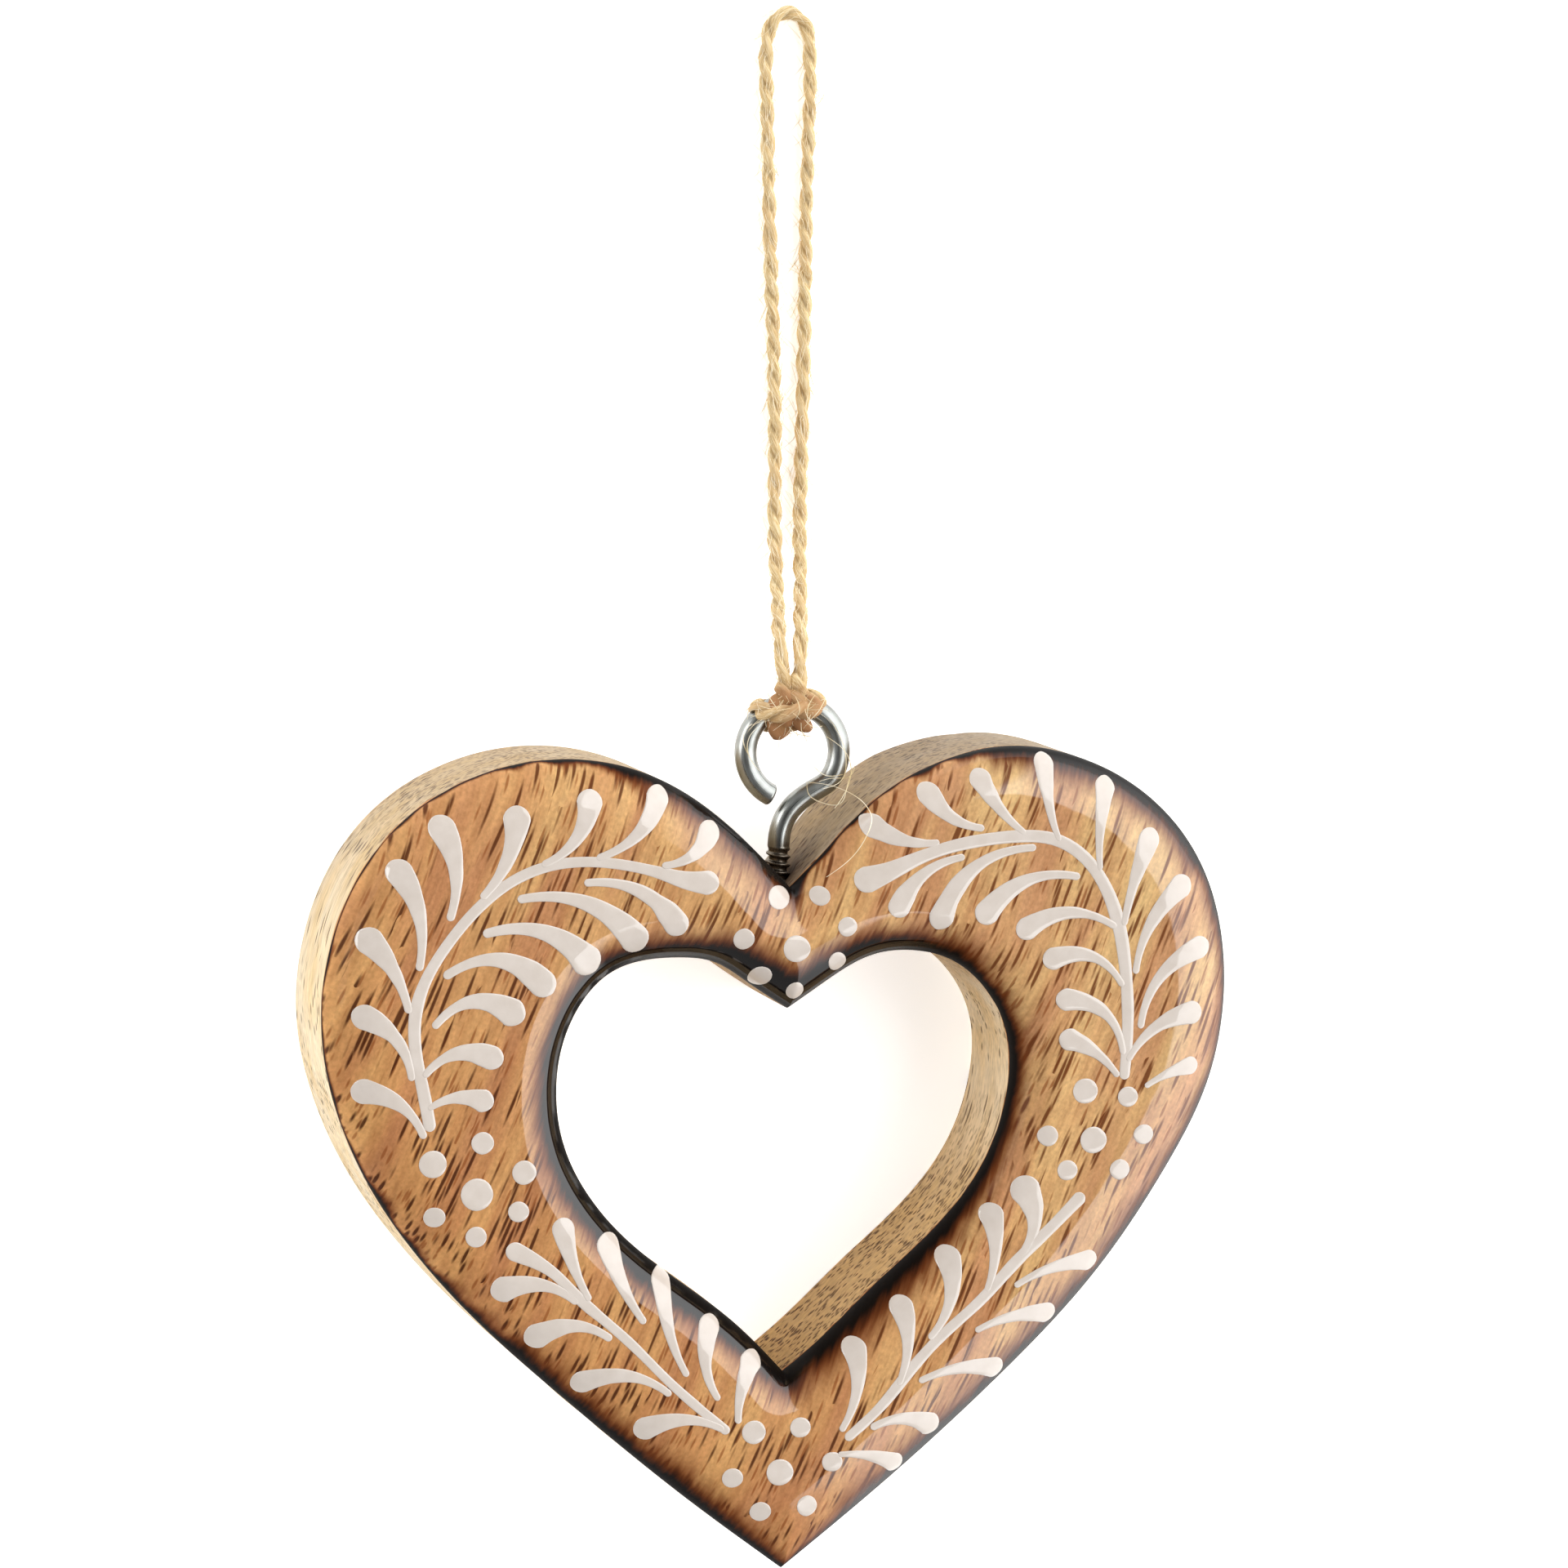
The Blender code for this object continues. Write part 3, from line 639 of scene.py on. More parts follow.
LOWER_LEFT_LEAVES = [
    (617, 1579, 704, 1593, 16, 0.14), (658, 1636, 745, 1638, 16, 0.16), (714, 1692, 818, 1706, 15, 0.14),
    (791, 1749, 882, 1749, 15, 0.12), (690, 1506, 720, 1589, 15, -0.04), (745, 1526, 787, 1617, 16, -0.05),
    (809, 1567, 840, 1682, 14, -0.07), (868, 1625, 878, 1711, 15, -0.12), (919, 1668, 904, 1739, 15, -0.07),
]
LOWER_RIGHT_STEM = [
    (1040, 1759, 6), (1078, 1723, 7), (1110, 1684, 7.5), (1153, 1636, 7), (1200, 1593, 7), (1248, 1541, 8),
    (1280, 1510, 7.5), (1321, 1468, 8.5),
]
LOWER_RIGHT_LEAVES = [
    (1256, 1458, 1254, 1533, 19, 0.16), (1214, 1488, 1210, 1577, 15, 0.07),
    (1161, 1541, 1141, 1636, 16, 0.13), (1104, 1601, 1102, 1692, 15, 0.09),
    (1046, 1652, 1032, 1749, 15, 0.1), (1331, 1543, 1246, 1573, 14, -0.07),
    (1280, 1607, 1198, 1628, 14, -0.07), (1216, 1674, 1129, 1690, 14, -0.08),
    (1137, 1743, 1070, 1747, 15, -0.12), (1094, 1790, 1030, 1781, 13, -0.06),
]
TOP_RIGHT_STEM = [
    (1377, 1315, 7), (1381, 1255, 8), (1379, 1196, 8), (1371, 1137, 9), (1355, 1089, 8), (1328, 1050, 8),
    (1292, 1028, 8), (1252, 1024, 8), (1209, 1028, 8), (1161, 1038, 8), (1118, 1054, 9), (1090, 1067, 12),
    (1063, 1077, 17),
]
TOP_RIGHT_LEAVES = [
    (1070, 1012, 1146, 1032, 15, -0.09), (1138, 973, 1201, 1014, 15, -0.12),
    (1201, 955, 1252, 1018, 14, -0.06), (1278, 935, 1296, 1026, 13, -0.06),
    (1353, 963, 1347, 1062, 13, -0.05), (1407, 1028, 1377, 1129, 15, -0.03),
    (1446, 1085, 1391, 1188, 15, -0.1), (1468, 1160, 1397, 1255, 15, -0.15),
    (1458, 1240, 1383, 1295, 15, -0.12), (1456, 1305, 1405, 1329, 12, -0.05),
    (1102, 1109, 1177, 1050, 15, 0.13), (1153, 1123, 1264, 1038, 16, 0.17),
    (1209, 1117, 1318, 1073, 16, 0.15), (1258, 1137, 1363, 1133, 15, 0.16),
    (1290, 1174, 1373, 1204, 14, 0.2), (1306, 1224, 1375, 1287, 14, 0.2),
    (1310, 1273, 1367, 1315, 14, 0.08),
]
LEFT_DOTS = [
    (530, 1426, 17), (591, 1400, 14), (584, 1463, 20), (642, 1436, 15), (532, 1491, 13), (635, 1484, 13),
    (583, 1515, 13),
]
TIP_DOTS = [
    (923, 1754, 15), (980, 1748, 13), (897, 1810, 13), (955, 1803, 17), (1019, 1790, 13), (931, 1851, 13),
    (988, 1844, 13),
]
RIGHT_DOTS = [
    (1329, 1336, 16), (1381, 1343, 13), (1283, 1391, 13), (1339, 1396, 17), (1400, 1389, 13),
    (1307, 1433, 13), (1371, 1432, 13),
]
CLEFT_DOTS = [
    (954, 1099, 15), (1004, 1097, 12), (911, 1150, 13), (1038, 1135, 12), (976, 1162, 17), (931, 1195, 13),
    (1025, 1177, 12), (974, 1213, 11),
]


def on_wood(flat, lift):
    """Points at a lift off the front face over flat places. The face rises from both edges as
    quarter ellipses multiplied together; past an edge, paint runs down the sawn side."""
    near_outer, inside = from_edge(outer, flat)
    near_hole, beyond = from_edge(hole, flat)
    clear = -beyond
    rise_outer, rise_hole = rolled(inside, OUTER_ROLL), rolled(clear, HOLE_ROLL)
    slope_outer = (1 - np.clip(inside / OUTER_ROLL, 0.01, 1)) / (OUTER_ROLL * np.maximum(rise_outer, 0.1))
    slope_hole = (1 - np.clip(clear / HOLE_ROLL, 0.01, 1)) / (HOLE_ROLL * np.maximum(rise_hole, 0.1))
    inward = (flat - near_outer) / np.where(np.abs(inside) < 1e-7, 1e-7, inside)[:, None]
    away = (flat - near_hole) / np.where(np.abs(clear) < 1e-7, 1e-7, clear)[:, None]
    climb_outer = (slope_outer * rise_hole)[:, None] * inward
    climb_hole = (slope_hole * rise_outer)[:, None] * away
    slope = ROLL_DROP * (climb_outer + climb_hole)
    square = unit(np.column_stack([-slope, np.ones(len(flat))]))
    over = np.maximum(0, -inside) + np.maximum(0, -clear)
    place = np.where(inside[:, None] < 0, near_outer, np.where(clear[:, None] < 0, near_hole, flat))
    height = side_height + ROLL_DROP * rise_outer * rise_hole - over
    return np.column_stack([place, height]) + square * np.reshape(lift, (-1, 1))


def front_places(pixels):
    """Flat places on the front face that pixels show, by stepping each line of sight to the face."""
    height = np.full(len(pixels), THICKNESS)
    for _ in range(24):
        flat = np.concatenate([at_height([pixel], level) for pixel, level in zip(pixels, height)])[:, :2]
        height = 0.5 * height + 0.5 * on_wood(flat, np.zeros(len(flat)))[:, 2]
    return flat


def brush_stroke(line, half_widths, draw):
    """One stroke: a flat section with rounded rims carried along a line on the front, with a half
    circle at each end. Its rims wander a little, as a brush does."""
    ahead = unit(np.gradient(line, axis=0)) if len(line) > 1 else np.array([[1.0, 0.0]])
    turn = np.radians([4, 15, 30, 45, 60, 75])
    start = line[0] - half_widths[0] * np.cos(turn)[:, None] * ahead[0]
    end = line[-1] + half_widths[-1] * np.cos(turn[::-1])[:, None] * ahead[-1]
    centre = np.concatenate([start, line, end])
    half = np.concatenate([half_widths[0] * np.sin(turn), half_widths, half_widths[-1] * np.sin(turn[::-1])])
    ahead = np.concatenate([np.tile(ahead[0], (6, 1)), ahead, np.tile(ahead[-1], (6, 1))])
    beside = np.column_stack([-ahead[:, 1], ahead[:, 0]])
    knots = 3 * np.arange(len(half) // 3 + 2)
    wander = np.interp(np.arange(len(half)), knots, draw.normal(0, 0.03, len(knots)))
    half = half * (1 + wander)
    flat = centre[:, None, :] + half[:, None, None] * PAINT_SECTION[None, :, :1] * beside[:, None, :]
    lift = np.broadcast_to(PAINT_SECTION[:, 1] * PAINT_LIFT, flat.shape[:2])
    return flat.reshape(-1, 2), lift.reshape(-1), len(half)


def leaf(head, tail, radius, bow):
    """Centre line and half widths of a leaf: a bowed line from head to tail that narrows fast
    behind its round head and then slowly."""
    reach = tail - head
    bulge = (head + tail) / 2 + 2 * bow * np.array([-reach[1], reach[0]])
    t = np.linspace(0, 1, 22)[:, None]
    line = (1 - t) ** 2 * head + 2 * t * (1 - t) * bulge + t**2 * tail
    return line, radius * (0.3 + 0.7 * (1 - t[:, 0]) ** 1.7)


# Hand-laid acrylic craft paint. It is even and opaque with faint clouds, and has the lacquer's gloss.
paint, tree, shader = new_material("off_white_paint_under_lacquer")
cloud = noise(tree, add(tree, "TexCoord").outputs["Object"], 1.6 * MM, 3.0)
paint_colour = ramp(tree, cloud, [(0.3, "#CDC1B6"), (0.7, "#D4C9BF")])
lacquer_over(tree, shader, paint_colour, {"Coat Weight": 1.0}, {})

for seed, (name, stem, leaves, dots) in enumerate([
    ("sprig_top_left", TOP_LEFT_STEM, TOP_LEFT_LEAVES, []),
    ("sprig_lower_left", LOWER_LEFT_STEM, LOWER_LEFT_LEAVES, []),
    ("sprig_lower_right", LOWER_RIGHT_STEM, LOWER_RIGHT_LEAVES, []),
    ("sprig_top_right", TOP_RIGHT_STEM, TOP_RIGHT_LEAVES, []),
    ("dots_left", [], [], LEFT_DOTS),
    ("dots_tip", [], [], TIP_DOTS),
    ("dots_right", [], [], RIGHT_DOTS),
    ("dots_cleft", [], [], CLEFT_DOTS),
]):
    draw = np.random.default_rng(40 + seed)
    strokes = []
    if stem:
        stem_halves = [half * PX for _, _, half in stem]
        knots = np.column_stack([front_places([(x, y) for x, y, _ in stem]), stem_halves])
        curve = even_points(spline(knots, 600), 60)
        strokes.append(brush_stroke(curve[:, :2], curve[:, 2], draw))
    for head_x, head_y, tail_x, tail_y, radius, bow in leaves:
        head, tail = front_places([(head_x, head_y), (tail_x, tail_y)])
        strokes.append(brush_stroke(*leaf(head, tail, radius * PX, bow), draw))
    for x, y, radius in dots:
        centre = front_places([(x, y)])
        strokes.append(brush_stroke(centre, np.array([radius * PX]), draw))
    flat = np.concatenate([stroke[0] for stroke in strokes])
    lift = np.concatenate([stroke[1] * (1 + 0.04 * order) for order, stroke in enumerate(strokes)])
    sides = len(PAINT_SECTION)
    faces, first = [], 0
    for _, _, stroke_rows in strokes:
        faces += tube_faces(stroke_rows, sides, first)
        first += stroke_rows * sides
    painted = make_piece(name, on_wood(flat, lift), faces, 60, [paint], {})
    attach(painted, "root")

# Screw eye
# Bent from one zinc-plated steel wire: an open ring with its cut end on the left, a neck bent back
# under the ring's middle, and a straight threaded shank driven into the cleft.
WIRE = 2.4 * MM
EYE_RADIUS = 5.2 * MM
EYE_SET_OFF = 1.25 * MM
SHANK_DROP = 10.1 * MM
THREAD_LENGTH = 12.0 * MM
THREAD_WIDTH = 2.7 * MM
THREAD_ROOT = 2.0 * MM
THREAD_PITCH = 0.9 * MM
WOOD_BELOW_SCREW = 5.0 * MM
WIRE_SIDES = 28
THREAD_ROWS = 14
RING_START, RING_END = math.radians(246), math.radians(-35)
eye_centre = np.array([
    cleft[0] + EYE_SET_OFF,
    cleft[1] + SHANK_DROP + THREAD_LENGTH - (CLEFT_RIM - WOOD_BELOW_SCREW),
    THICKNESS / 2,
])

turn = np.linspace(RING_START, RING_END, 150)
ring = EYE_RADIUS * np.column_stack([np.cos(turn), np.sin(turn)])
heading = np.array([math.sin(RING_END), -math.cos(RING_END)])
shank_top = np.array([-EYE_SET_OFF, -SHANK_DROP])
pull = [ring[-1], ring[-1] + 0.3 * EYE_RADIUS * heading, shank_top + [0, EYE_RADIUS], shank_top]
t = np.linspace(0, 1, 50)[1:, None]
neck = (1 - t) ** 3 * pull[0] + 3 * t * (1 - t) ** 2 * pull[1] + 3 * t**2 * (1 - t) * pull[2] + t**3 * pull[3]
plain_wire = np.concatenate([ring, neck])
thread_start = length_along(plain_wire)[-1]
thread_rows = round(THREAD_LENGTH / THREAD_PITCH * THREAD_ROWS)
down = np.arange(1, thread_rows + 1)[:, None] * THREAD_LENGTH / thread_rows
wire_line = np.concatenate([plain_wire, shank_top - down * [0, 1]])
along = length_along(wire_line)
ahead = unit(np.gradient(wire_line, axis=0))
beside = np.column_stack([-ahead[:, 1], ahead[:, 0]])
angle = np.linspace(0, 2 * math.pi, WIRE_SIDES, endpoint=False)
into_thread = (along - thread_start)[:, None]
wound = (into_thread / THREAD_PITCH + angle / (2 * math.pi)) % 1.0
crest = np.clip(1.25 - 1.9 * np.abs(2 * wound - 1), 0, 1)
start_in = np.clip(into_thread / THREAD_PITCH, 0, 1)
core = WIRE / 2 + (THREAD_ROOT - WIRE) / 2 * start_in
threaded = core + (THREAD_WIDTH - THREAD_ROOT) / 2 * crest * start_in
point = np.clip((along[-1] - along) / (2 * THREAD_PITCH), 0.15, 1.0)[:, None]
cut_edge = np.clip(0.86 + along[:, None] / (0.9 * MM), 0.86, 1.0)
radius = np.where(into_thread > 0, threaded * point, WIRE / 2 * cut_edge)
wire_xy = wire_line[:, None, :] + radius[:, :, None] * np.cos(angle)[None, :, None] * beside[:, None, :]
wire_z = (radius * np.sin(angle))[:, :, None]
wire_points = np.concatenate([wire_xy, wire_z], axis=2).reshape(-1, 3) + eye_centre
wire_lie = tube_lie(along, radius, angle)
greased = np.repeat(np.clip((along - thread_start) / (1.5 * MM) + 0.6, 0, 1), WIRE_SIDES)

# Drawn mild steel wire with a bright zinc plate. It mirrors the room in bands along its length,
# softly broken by drawing marks, and is dull and dark with oil at the thread.
zinc, tree, shader = new_material("bright_zinc_plated_steel")
lie = attribute(tree, "wire_lie", "Vector")
marks = noise(tree, drawn_out(tree, lie, 6 * MM, 0.12 * MM), 1.0, 2.0)
shine = ramp(tree, noise(tree, lie, 1.8 * MM, 2.0), [(0.3, "#8E8F8A"), (0.7, "#ABADAA")])
metal_colour = blend_colours(tree, attribute(tree, "greased"), shine, "#6B6257")
dullness = ranged(tree, marks, 0.3, 0.7, 0.24, 0.4)
wire_up(tree, shader, {"Metallic": 1.0},
        {"Base Color": metal_colour, "Roughness": dullness, "Normal": bump(tree, marks, 0.25, 0.02 * MM)})

screw_eye = make_piece("screw_eye_wire", wire_points, tube_faces(len(wire_line), WIRE_SIDES), 50, [zinc],
                       {"wire_lie": wire_lie, "greased": greased})
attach(screw_eye, "root")
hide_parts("screw_eye")

# Twine loop
# One closed loop of two-ply jute twine, hitched round the ring with its bight in front. Both
# strands drop to the table and lie side by side, and the loop ends in a narrow fold.
TWINE = 1.5 * MM
FIT_GAP = 0.3 * MM
HITCH_TURN = -10.0
HITCH_WRAP = [
    (-24.0, 0.06, -1.0), (-28.0, 0.72, -0.7), (-30.0, 1.0, 0.0), (-29.5, 0.75, 0.75), (-27.5, 0.2, 1.26),
    (-19.0, -0.14, 1.66), (0.0, -0.26, 1.82),
]
HITCH_UNDER = [
    (-12.0, 0.0, 1.0), (-16.5, -0.7, 0.7), (-18.5, -1.0, 0.0), (-20.0, -0.7, -0.7), (-23.0, -0.1, -1.0),
]
RIGHT_STRAND = [
    (0.06, 7.2, 11.7), (0.6, 9.9, 9.7), (1.35, 13.5, 6.7), (2.05, 17.8, 3.5), (2.4, 22.3, 1.5),
    (2.5, 27.0, 0.85), (2.5, 32.5, 0.8), (2.5, 38.0, 0.8), (2.45, 45.0, 0.8), (2.4, 52.0, 0.8),
    (2.3, 58.6, 0.8), (2.35, 65.4, 0.8), (2.35, 71.3, 0.8), (2.15, 75.9, 0.8), (1.3, 78.5, 0.8),
]
LOOP_TOP = (-0.25, 79.25, 0.8)
LEFT_STRAND = [
    (-1.75, 78.5, 0.8), (-2.6, 75.9, 0.8), (-2.5, 71.3, 0.8), (-2.2, 65.4, 0.8), (-1.85, 58.6, 0.8),
    (-1.5, 52.0, 0.8), (-1.05, 45.0, 0.8), (-0.7, 38.0, 0.8), (-0.5, 32.5, 0.8), (-0.4, 27.0, 0.85),
    (-0.4, 22.3, 1.5), (-0.6, 17.8, 3.5), (-1.1, 13.5, 6.7), (-1.5, 9.9, 9.7), (-1.75, 7.2, 11.7),
]
TWINE_ROWS = 1000
TWINE_SIDES = 30
PLY_LEAD = 6.0 * MM  # length of one full turn of the two plies, wound as the stroke of an S
PLY_OFFSET = 0.29 * MM
PLY_RADIUS = 0.52 * MM
HITCH_SPREAD = 1.0  # how much the twine swells in the hitch, where its plies lie open
HITCH_SIZE = 3.0 * MM  # it swells fully within this of the ring's top, and not at all past twice this
HITCH_PRESS = 0.72  # how much of the twine's depth over the wire's outside is pressed flat
PLY_GROOVE = 0.62 * MM  # grooves between the plies lie deeper than this, and stray fibres start here


def hitch_points(turns):
    """Places round the ring for (turn, outward share, forward share), from the ring's centre."""
    reach = WIRE / 2 + TWINE / 2 + FIT_GAP
    turn, outward, forward = np.array(turns).T
    turn = np.radians(turn + HITCH_TURN)
    distance = EYE_RADIUS + outward * reach
    return np.column_stack([distance * np.sin(turn), distance * np.cos(turn), forward * reach])


def mirrored(turns):
    """The same places on the other side of the hitch."""
    return [(-turn, outward, forward) for turn, outward, forward in turns]


def carried_across(line):
    """A direction square to the line at each point, carried along it without winding round it."""
    ahead = unit(np.gradient(line, axis=0))
    across = np.empty_like(line)
    square = np.cross(ahead[0], [0.3, 0.5, 0.8])
    for i, direction in enumerate(ahead):
        square = unit(square - (square @ direction) * direction)
        across[i] = square
    return ahead, across, np.cross(ahead, across)


def slow_change(draw, step, middle, spread):
    """Random numbers about a middle at every so many rows of the twine, and straight between."""
    knots = np.arange(0, TWINE_ROWS + step, step)
    return np.interp(np.arange(TWINE_ROWS), knots, draw.normal(middle, spread, len(knots)))


def pressed_on_ring(points):
    """Points drawn towards the ring's wire: depth over the wire shrinks by the hitch's press, less
    on the ring's inside, and the press gives way between 4 and 7 mm from the wire's middle."""
    flat = points[:, :2] - eye_centre[:2]
    on_ring = flat * EYE_RADIUS / np.linalg.norm(flat, axis=1)[:, None]
    middle = np.column_stack([on_ring + eye_centre[:2], np.full(len(points), eye_centre[2])])
    away = points - middle
    reach = np.linalg.norm(away, axis=1)
    depth = np.maximum(reach - WIRE / 2, 0)
    outward = (away[:, :2] * flat).sum(axis=1) / (reach * np.linalg.norm(flat, axis=1))
    press = HITCH_PRESS * (0.62 + 0.38 * outward) * np.clip((7 * MM - reach) / (3 * MM), 0, 1)
    return points - away * (press * depth / reach)[:, None]


bight = hitch_points(HITCH_WRAP + mirrored(HITCH_WRAP[-2::-1]))
right_under = hitch_points(mirrored(HITCH_UNDER[-2::-1]))
strands = np.array([*RIGHT_STRAND, LOOP_TOP, *LEFT_STRAND]) * MM - [0.0, 0.0, eye_centre[2]]
route = spline(np.concatenate([bight, right_under, strands, hitch_points(HITCH_UNDER)]), 6000)
twine_line = even_points(route, TWINE_ROWS) + eye_centre
twine_along = length_along(twine_line)
ahead, across, beyond = carried_across(twine_line)
draw = np.random.default_rng(7)
angle = np.linspace(0, 2 * math.pi, TWINE_SIDES, endpoint=False)
slub = slow_change(draw, 25, 1.0, 0.035)
lay_wander = np.cumsum(slow_change(draw, 40, 0.0, 0.12)) * 2 * math.pi / TWINE_ROWS * 30
ply_turn = -2 * math.pi * twine_along / PLY_LEAD + lay_wander
ply_angle = angle[None, :] - ply_turn[:, None]
lobe = PLY_OFFSET * np.abs(np.cos(ply_angle)) + np.sqrt(PLY_RADIUS**2 - (PLY_OFFSET * np.sin(ply_angle)) ** 2)
# Share of painted shade in the gaps between the plies, growing where the twine's skin dips deep between them.
ply_gap_shade = np.clip((PLY_GROOVE - lobe) / (0.2 * MM), 0, 1)
strand_noise = draw.normal(0, 1, (TWINE_ROWS // 10 + 2, TWINE_SIDES))
fibre_rows = np.arange(TWINE_ROWS) / 10
low_row = fibre_rows.astype(int)
part = (fibre_rows - low_row)[:, None]
fibre_relief = strand_noise[low_row] * (1 - part) + strand_noise[low_row + 1] * part
from_hitch = np.linalg.norm(twine_line - eye_centre - [0, EYE_RADIUS, 0], axis=1)
in_hitch = np.clip(2 - from_hitch / HITCH_SIZE, 0, 1)
swell = 1 + HITCH_SPREAD * in_hitch
twine_radius = lobe * (slub * swell)[:, None] + 0.022 * MM * fibre_relief
twine_offset = np.cos(angle)[None, :, None] * across[:, None, :]
twine_offset += np.sin(angle)[None, :, None] * beyond[:, None, :]
twine_points = (twine_line[:, None, :] + twine_radius[:, :, None] * twine_offset).reshape(-1, 3)
twine_points = pressed_on_ring(twine_points)
twine_points[:, 2] = np.maximum(twine_points[:, 2], 0.03 * MM)
twine_lie = tube_lie(twine_along, lobe, angle[None, :] - 0.5 * ply_turn[:, None])

# Jute, spun and plied dry. It is dull straw with pale single fibres and painted shade in the gaps
# between plies, browner where it is worn in the hitch, and fuzzy all over with stray fibres.
jute, tree, shader = new_material("two_ply_jute")
lie = attribute(tree, "twine_lie", "Vector")
hair = noise(tree, drawn_out(tree, lie, 3.0 * MM, 0.09 * MM), 1.0, 3.0)
jute_colour = ramp(tree, hair, [(0.3, "#BC9660"), (0.72, "#F5E6C2"), (0.5, "#DFC492")])
patch = noise(tree, lie, 7 * MM, 1.0)
worn = arithmetic(tree, "MULTIPLY", attribute(tree, "hitched"), ranged(tree, patch, 0.38, 0.56))
# Painted shade darkens the gaps between the plies.
gap = arithmetic(tree, "MULTIPLY", attribute(tree, "ply_gap_shade"), 0.6)
tanned = ranged(tree, patch, 0.4, 0.65, 0.0, 0.3)
for share, colour in ((tanned, "#CFA676"), (worn, "#A67852"), (gap, "#8A6A40")):
    jute_colour = blend_colours(tree, share, jute_colour, colour)
wire_up(tree, shader, {"Roughness": 0.9, "Specular IOR Level": 0.2},
        {"Base Color": jute_colour, "Normal": bump(tree, hair, 0.9, 0.08 * MM)})

twine = make_piece("twine", twine_points, tube_faces(TWINE_ROWS, TWINE_SIDES), 70, [jute],
                   {"twine_lie": twine_lie, "ply_gap_shade": ply_gap_shade.ravel(),
                    "hitched": np.repeat(in_hitch, TWINE_SIDES)})
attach(twine, "root")
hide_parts("twine_loop")

# Stray fibres: short ones all along the twine, and long loose ones round the hitch, over the ring
# and in the cleft. Places of the long ones are pixels, each with its height in mm.
FUZZ_COUNT = 1500
FUZZ_STEPS = 6
FUZZ_RADIUS = 0.028 * MM
LONG_FIBRE_RADIUS = 0.055 * MM
LONG_FIBRES = [
    [(990, 958, 12.6), (1018, 962, 12.6), (1046, 974, 13.5), (1064, 992, 17.0), (1066, 1012, 20.3),
     (1050, 1042, 20.6), (1012, 1074, 20.2)],
    [(988, 958, 12.4), (990, 972, 12.4), (1007, 983, 12.8), (1029, 984, 13.6), (1038, 960, 13.4),
     (1048, 935, 12.6)],
    [(1012, 902, 13.0), (1036, 922, 13.2), (1042, 948, 13.0), (1034, 972, 13.0), (1022, 990, 14.0)],
    [(921, 886, 12.6), (912, 896, 12.6), (911, 912, 12.2), (918, 926, 11.8)],
    [(1003, 957, 12.6), (1018, 953, 12.6), (1042, 949, 12.6), (1047, 940, 12.6)],
    [(996, 938, 12.0), (1010, 949, 12.6), (1033, 948, 12.6)],
    [(1016, 880, 12.8), (1030, 905, 12.8), (1036, 930, 12.6), (1030, 956, 12.8), (1008, 966, 12.8)],
    [(928, 890, 12.8), (918, 902, 12.6), (916, 922, 12.2), (930, 944, 12.0)],
    [(998, 851, 13.2), (989, 868, 13.9), (989, 881, 13.5)],
    [(1011, 855, 12.8), (1000, 874, 13.6), (988, 885, 13.3)],
    [(985, 881, 13.3), (996, 890, 12.8), (1007, 889, 12.2)],
    [(981, 885, 12.8), (985, 900, 11.8), (1000, 902, 11.6)],
    [(966, 890, 12.5), (977, 899, 11.8), (989, 901, 11.8)],
    [(974, 853, 13.6), (979, 870, 14.2), (974, 881, 13.8)],
    [(938, 844, 12.8), (944, 857, 13.4), (952, 868, 14.0)],
]


def fibre_tubes(lines, radius, sides=3):
    """Thin tubes round many lines of equally many points: a small polygon square to each line,
    thinner towards both ends."""
    ahead = unit(np.gradient(lines, axis=1))
    up = unit(np.cross(ahead, np.array([0.31, 0.17, 0.93])))
    side = np.cross(ahead, up)
    angle = np.linspace(0, 2 * math.pi, sides, endpoint=False)
    slim = 0.35 + 0.65 * np.sin(math.pi * np.linspace(0.08, 0.92, lines.shape[1]))
    turned_up = np.cos(angle)[None, None, :, None] * up[:, :, None, :]
    spread = turned_up + np.sin(angle)[None, None, :, None] * side[:, :, None, :]
    points = lines[:, :, None, :] + radius * slim[None, :, None, None] * spread
    count = lines.shape[1]
    one = ring_faces(count, sides, False)
    starts = np.arange(len(lines))[:, None, None] * count * sides
    walls = (one[None] + starts).reshape(-1, 4).tolist()
    caps = np.arange(sides)[None, :] + starts[:, 0]
    return points.reshape(-1, 3), walls + caps.tolist() + (caps + (count - 1) * sides).tolist()


draw = np.random.default_rng(21)
root_row = draw.integers(8, TWINE_ROWS - 8, FUZZ_COUNT)
root_angle = draw.uniform(0, 2 * math.pi, FUZZ_COUNT)
outward = np.cos(root_angle)[:, None] * across[root_row] + np.sin(root_angle)[:, None] * beyond[root_row]
sideways = np.cross(ahead[root_row], outward)
way = ahead[root_row] * draw.choice([-1, 1], FUZZ_COUNT)[:, None]
reach = draw.uniform(0.9, 3.2, FUZZ_COUNT)[:, None, None] * MM
lean = np.abs(draw.normal(0, 0.42, FUZZ_COUNT))[:, None, None]
swing = draw.normal(0, 0.4, FUZZ_COUNT)[:, None, None]
step = np.linspace(0, 1, FUZZ_STEPS)[None, :, None]
fuzz_roots = (twine_line[root_row] + PLY_GROOVE * outward)[:, None, :]
fuzz_lines = fuzz_roots + reach * (
    step * way[:, None, :] + lean * step**1.3 * outward[:, None, :] + swing * step**2 * sideways[:, None, :]
)
fuzz_lines[:, :, 2] = np.maximum(fuzz_lines[:, :, 2], 0.06 * MM)
fuzz_lines = pressed_on_ring(fuzz_lines.reshape(-1, 3)).reshape(fuzz_lines.shape)
fuzz_points, fuzz_faces = fibre_tubes(fuzz_lines, FUZZ_RADIUS)
long_lines = []
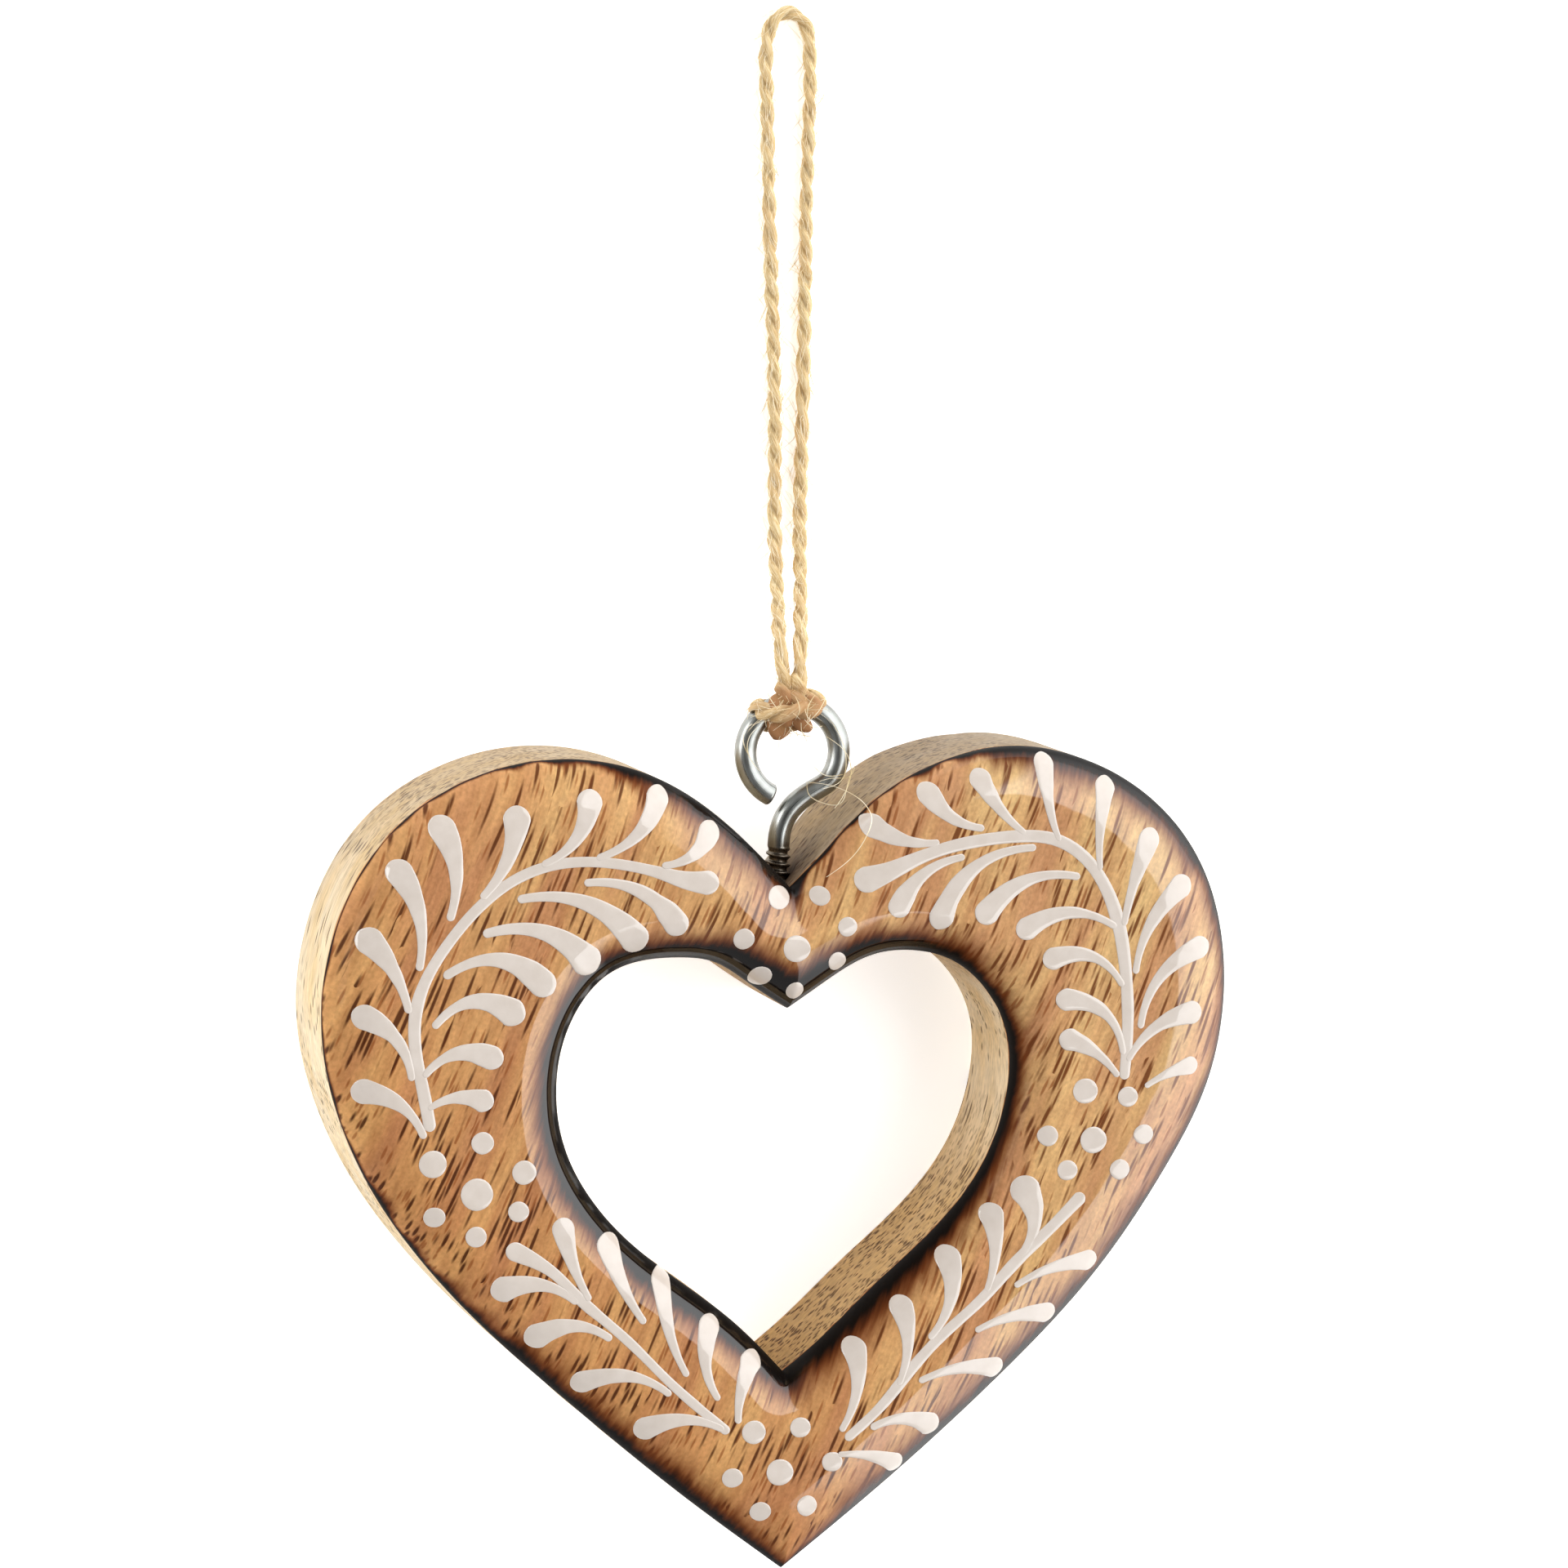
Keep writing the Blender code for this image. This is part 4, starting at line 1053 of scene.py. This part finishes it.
for knots in LONG_FIBRES:
    places = np.concatenate([at_height([(x, y)], height * MM) for x, y, height in knots])
    long_lines.append(even_points(spline(places, 400), 40))
long_points, long_faces = fibre_tubes(np.array(long_lines), LONG_FIBRE_RADIUS)
long_faces = [[corner + len(fuzz_points) for corner in face] for face in long_faces]

# Single jute fibres, split from the twine. They are pale and catch the light.
fibre_pale, tree, shader = new_material("single_jute_fibre")
shade = noise(tree, add(tree, "TexCoord").outputs["Object"], 4 * MM, 1.0)
fibre_colour = ramp(tree, shade, [(0.35, "#E0C998"), (0.65, "#FAF1D8")])
wire_up(tree, shader, {"Roughness": 0.55}, {"Base Color": fibre_colour})

fuzz = make_piece("stray_fibres", np.concatenate([fuzz_points, long_points]), fuzz_faces + long_faces, 80,
                  [fibre_pale], {})
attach(fuzz, "root")

# Table and light
# A plain white table whose top glows faintly, in a light tent with one soft light low on the left.
# The tent's right wall is bright and its top dark, and the wall stops short of what the flat front
# mirrors, so that only the rolled edges show it.
FLOOR_SIZE = 4.0
FLOOR_LEVEL = -0.1 * MM
TABLE_GLOW = 0.6
corner_signs = (-1, -1), (1, -1), (1, 1), (-1, 1)
floor_corners = [(x * FLOOR_SIZE, y * FLOOR_SIZE, FLOOR_LEVEL) for x, y in corner_signs]
floor_data = bpy.data.meshes.new("table_top")
floor_data.from_pydata(floor_corners, [], [(0, 1, 2, 3)])
floor = bpy.data.objects.new("table_top", floor_data)
bpy.context.scene.collection.objects.link(floor)
board, tree, shader = new_material("matt_white_board")
tone = noise(tree, add(tree, "TexCoord").outputs["Object"], 1 / 6, 2.0)
board_colour = ramp(tree, tone, [(0.3, "#F9F9F8"), (0.7, "#FCFCFB")])
wire_up(tree, shader, {"Roughness": 0.95, "Specular IOR Level": 0.1}, {"Base Color": board_colour})
# The table top itself glows, which lights the ornament faintly from below and pales the shadows on the table.
wire_up(tree, shader, {"Emission Color": (1.0, 1.0, 1.0, 1.0), "Emission Strength": TABLE_GLOW}, {})
floor_data.materials.append(board)

LEFT_LIGHT = Vector((-0.92, 0.25, 0.31))
LEFT_LIGHT_DISTANCE = 1.8
LEFT_LIGHT_WIDTH, LEFT_LIGHT_HEIGHT = 1.2, 0.7
LEFT_LIGHT_WATTS = 17.0
light_data = bpy.data.lights.new("softbox_left", "AREA")
light_data.shape = "RECTANGLE"
light_data.size = LEFT_LIGHT_WIDTH
light_data.size_y = LEFT_LIGHT_HEIGHT
light_data.energy = LEFT_LIGHT_WATTS
light = bpy.data.objects.new("softbox_left", light_data)
light.location = Vector((0.0, 0.02, 0.01)) + LEFT_LIGHT.normalized() * LEFT_LIGHT_DISTANCE
light.rotation_mode = "QUATERNION"
light.rotation_quaternion = LEFT_LIGHT.to_track_quat("Z", "Y")
bpy.context.scene.collection.objects.link(light)

TENT_LIGHT, OVERHEAD_LIGHT = 0.36, 0.03
WALL_LIGHT_LOW, WALL_LIGHT_TOP = 2.5, 3.6
WALL_TOP = math.cos(math.radians(21.5))  # angle from straight up
WALL_HEADING = math.radians(11)
WALL_HALF_WIDTH = math.cos(math.radians(58))
TOP_SOFTNESS, SIDE_SOFTNESS = 0.004, 0.06
world = bpy.data.worlds.new("light_tent")
world.use_nodes = True
tree = world.node_tree
towards = add(tree, "TexCoord").outputs["Generated"]
up = add(tree, "SeparateXYZ", links={"Vector": towards}).outputs["Z"]
level = add(tree, "VectorMath", {"operation": "MULTIPLY"}, {1: (1.0, 1.0, 0.0)}, {0: towards})
heading = add(tree, "VectorMath", {"operation": "NORMALIZE"}, links={0: level.outputs[0]})
wall_way = (math.cos(WALL_HEADING), math.sin(WALL_HEADING), 0.0)
facing = add(tree, "VectorMath", {"operation": "DOT_PRODUCT"}, {1: wall_way}, {0: heading.outputs[0]})
below_top = ranged(tree, up, WALL_TOP + TOP_SOFTNESS, WALL_TOP - TOP_SOFTNESS)
facing_share = facing.outputs["Value"]
within = ranged(tree, facing_share, WALL_HALF_WIDTH - SIDE_SOFTNESS, WALL_HALF_WIDTH + SIDE_SOFTNESS)
wall_light = ranged(tree, up, 0.0, WALL_TOP, WALL_LIGHT_LOW, WALL_LIGHT_TOP)
wall = arithmetic(tree, "MULTIPLY", arithmetic(tree, "MULTIPLY", below_top, within), wall_light)
tent = ranged(tree, up, 0.8, WALL_TOP, TENT_LIGHT, OVERHEAD_LIGHT)
wire_up(tree, tree.nodes["Background"], {"Color": (0.97, 0.985, 1.0, 1.0)},
        {"Strength": arithmetic(tree, "MAXIMUM", wall, tent)})
bpy.context.scene.world = world
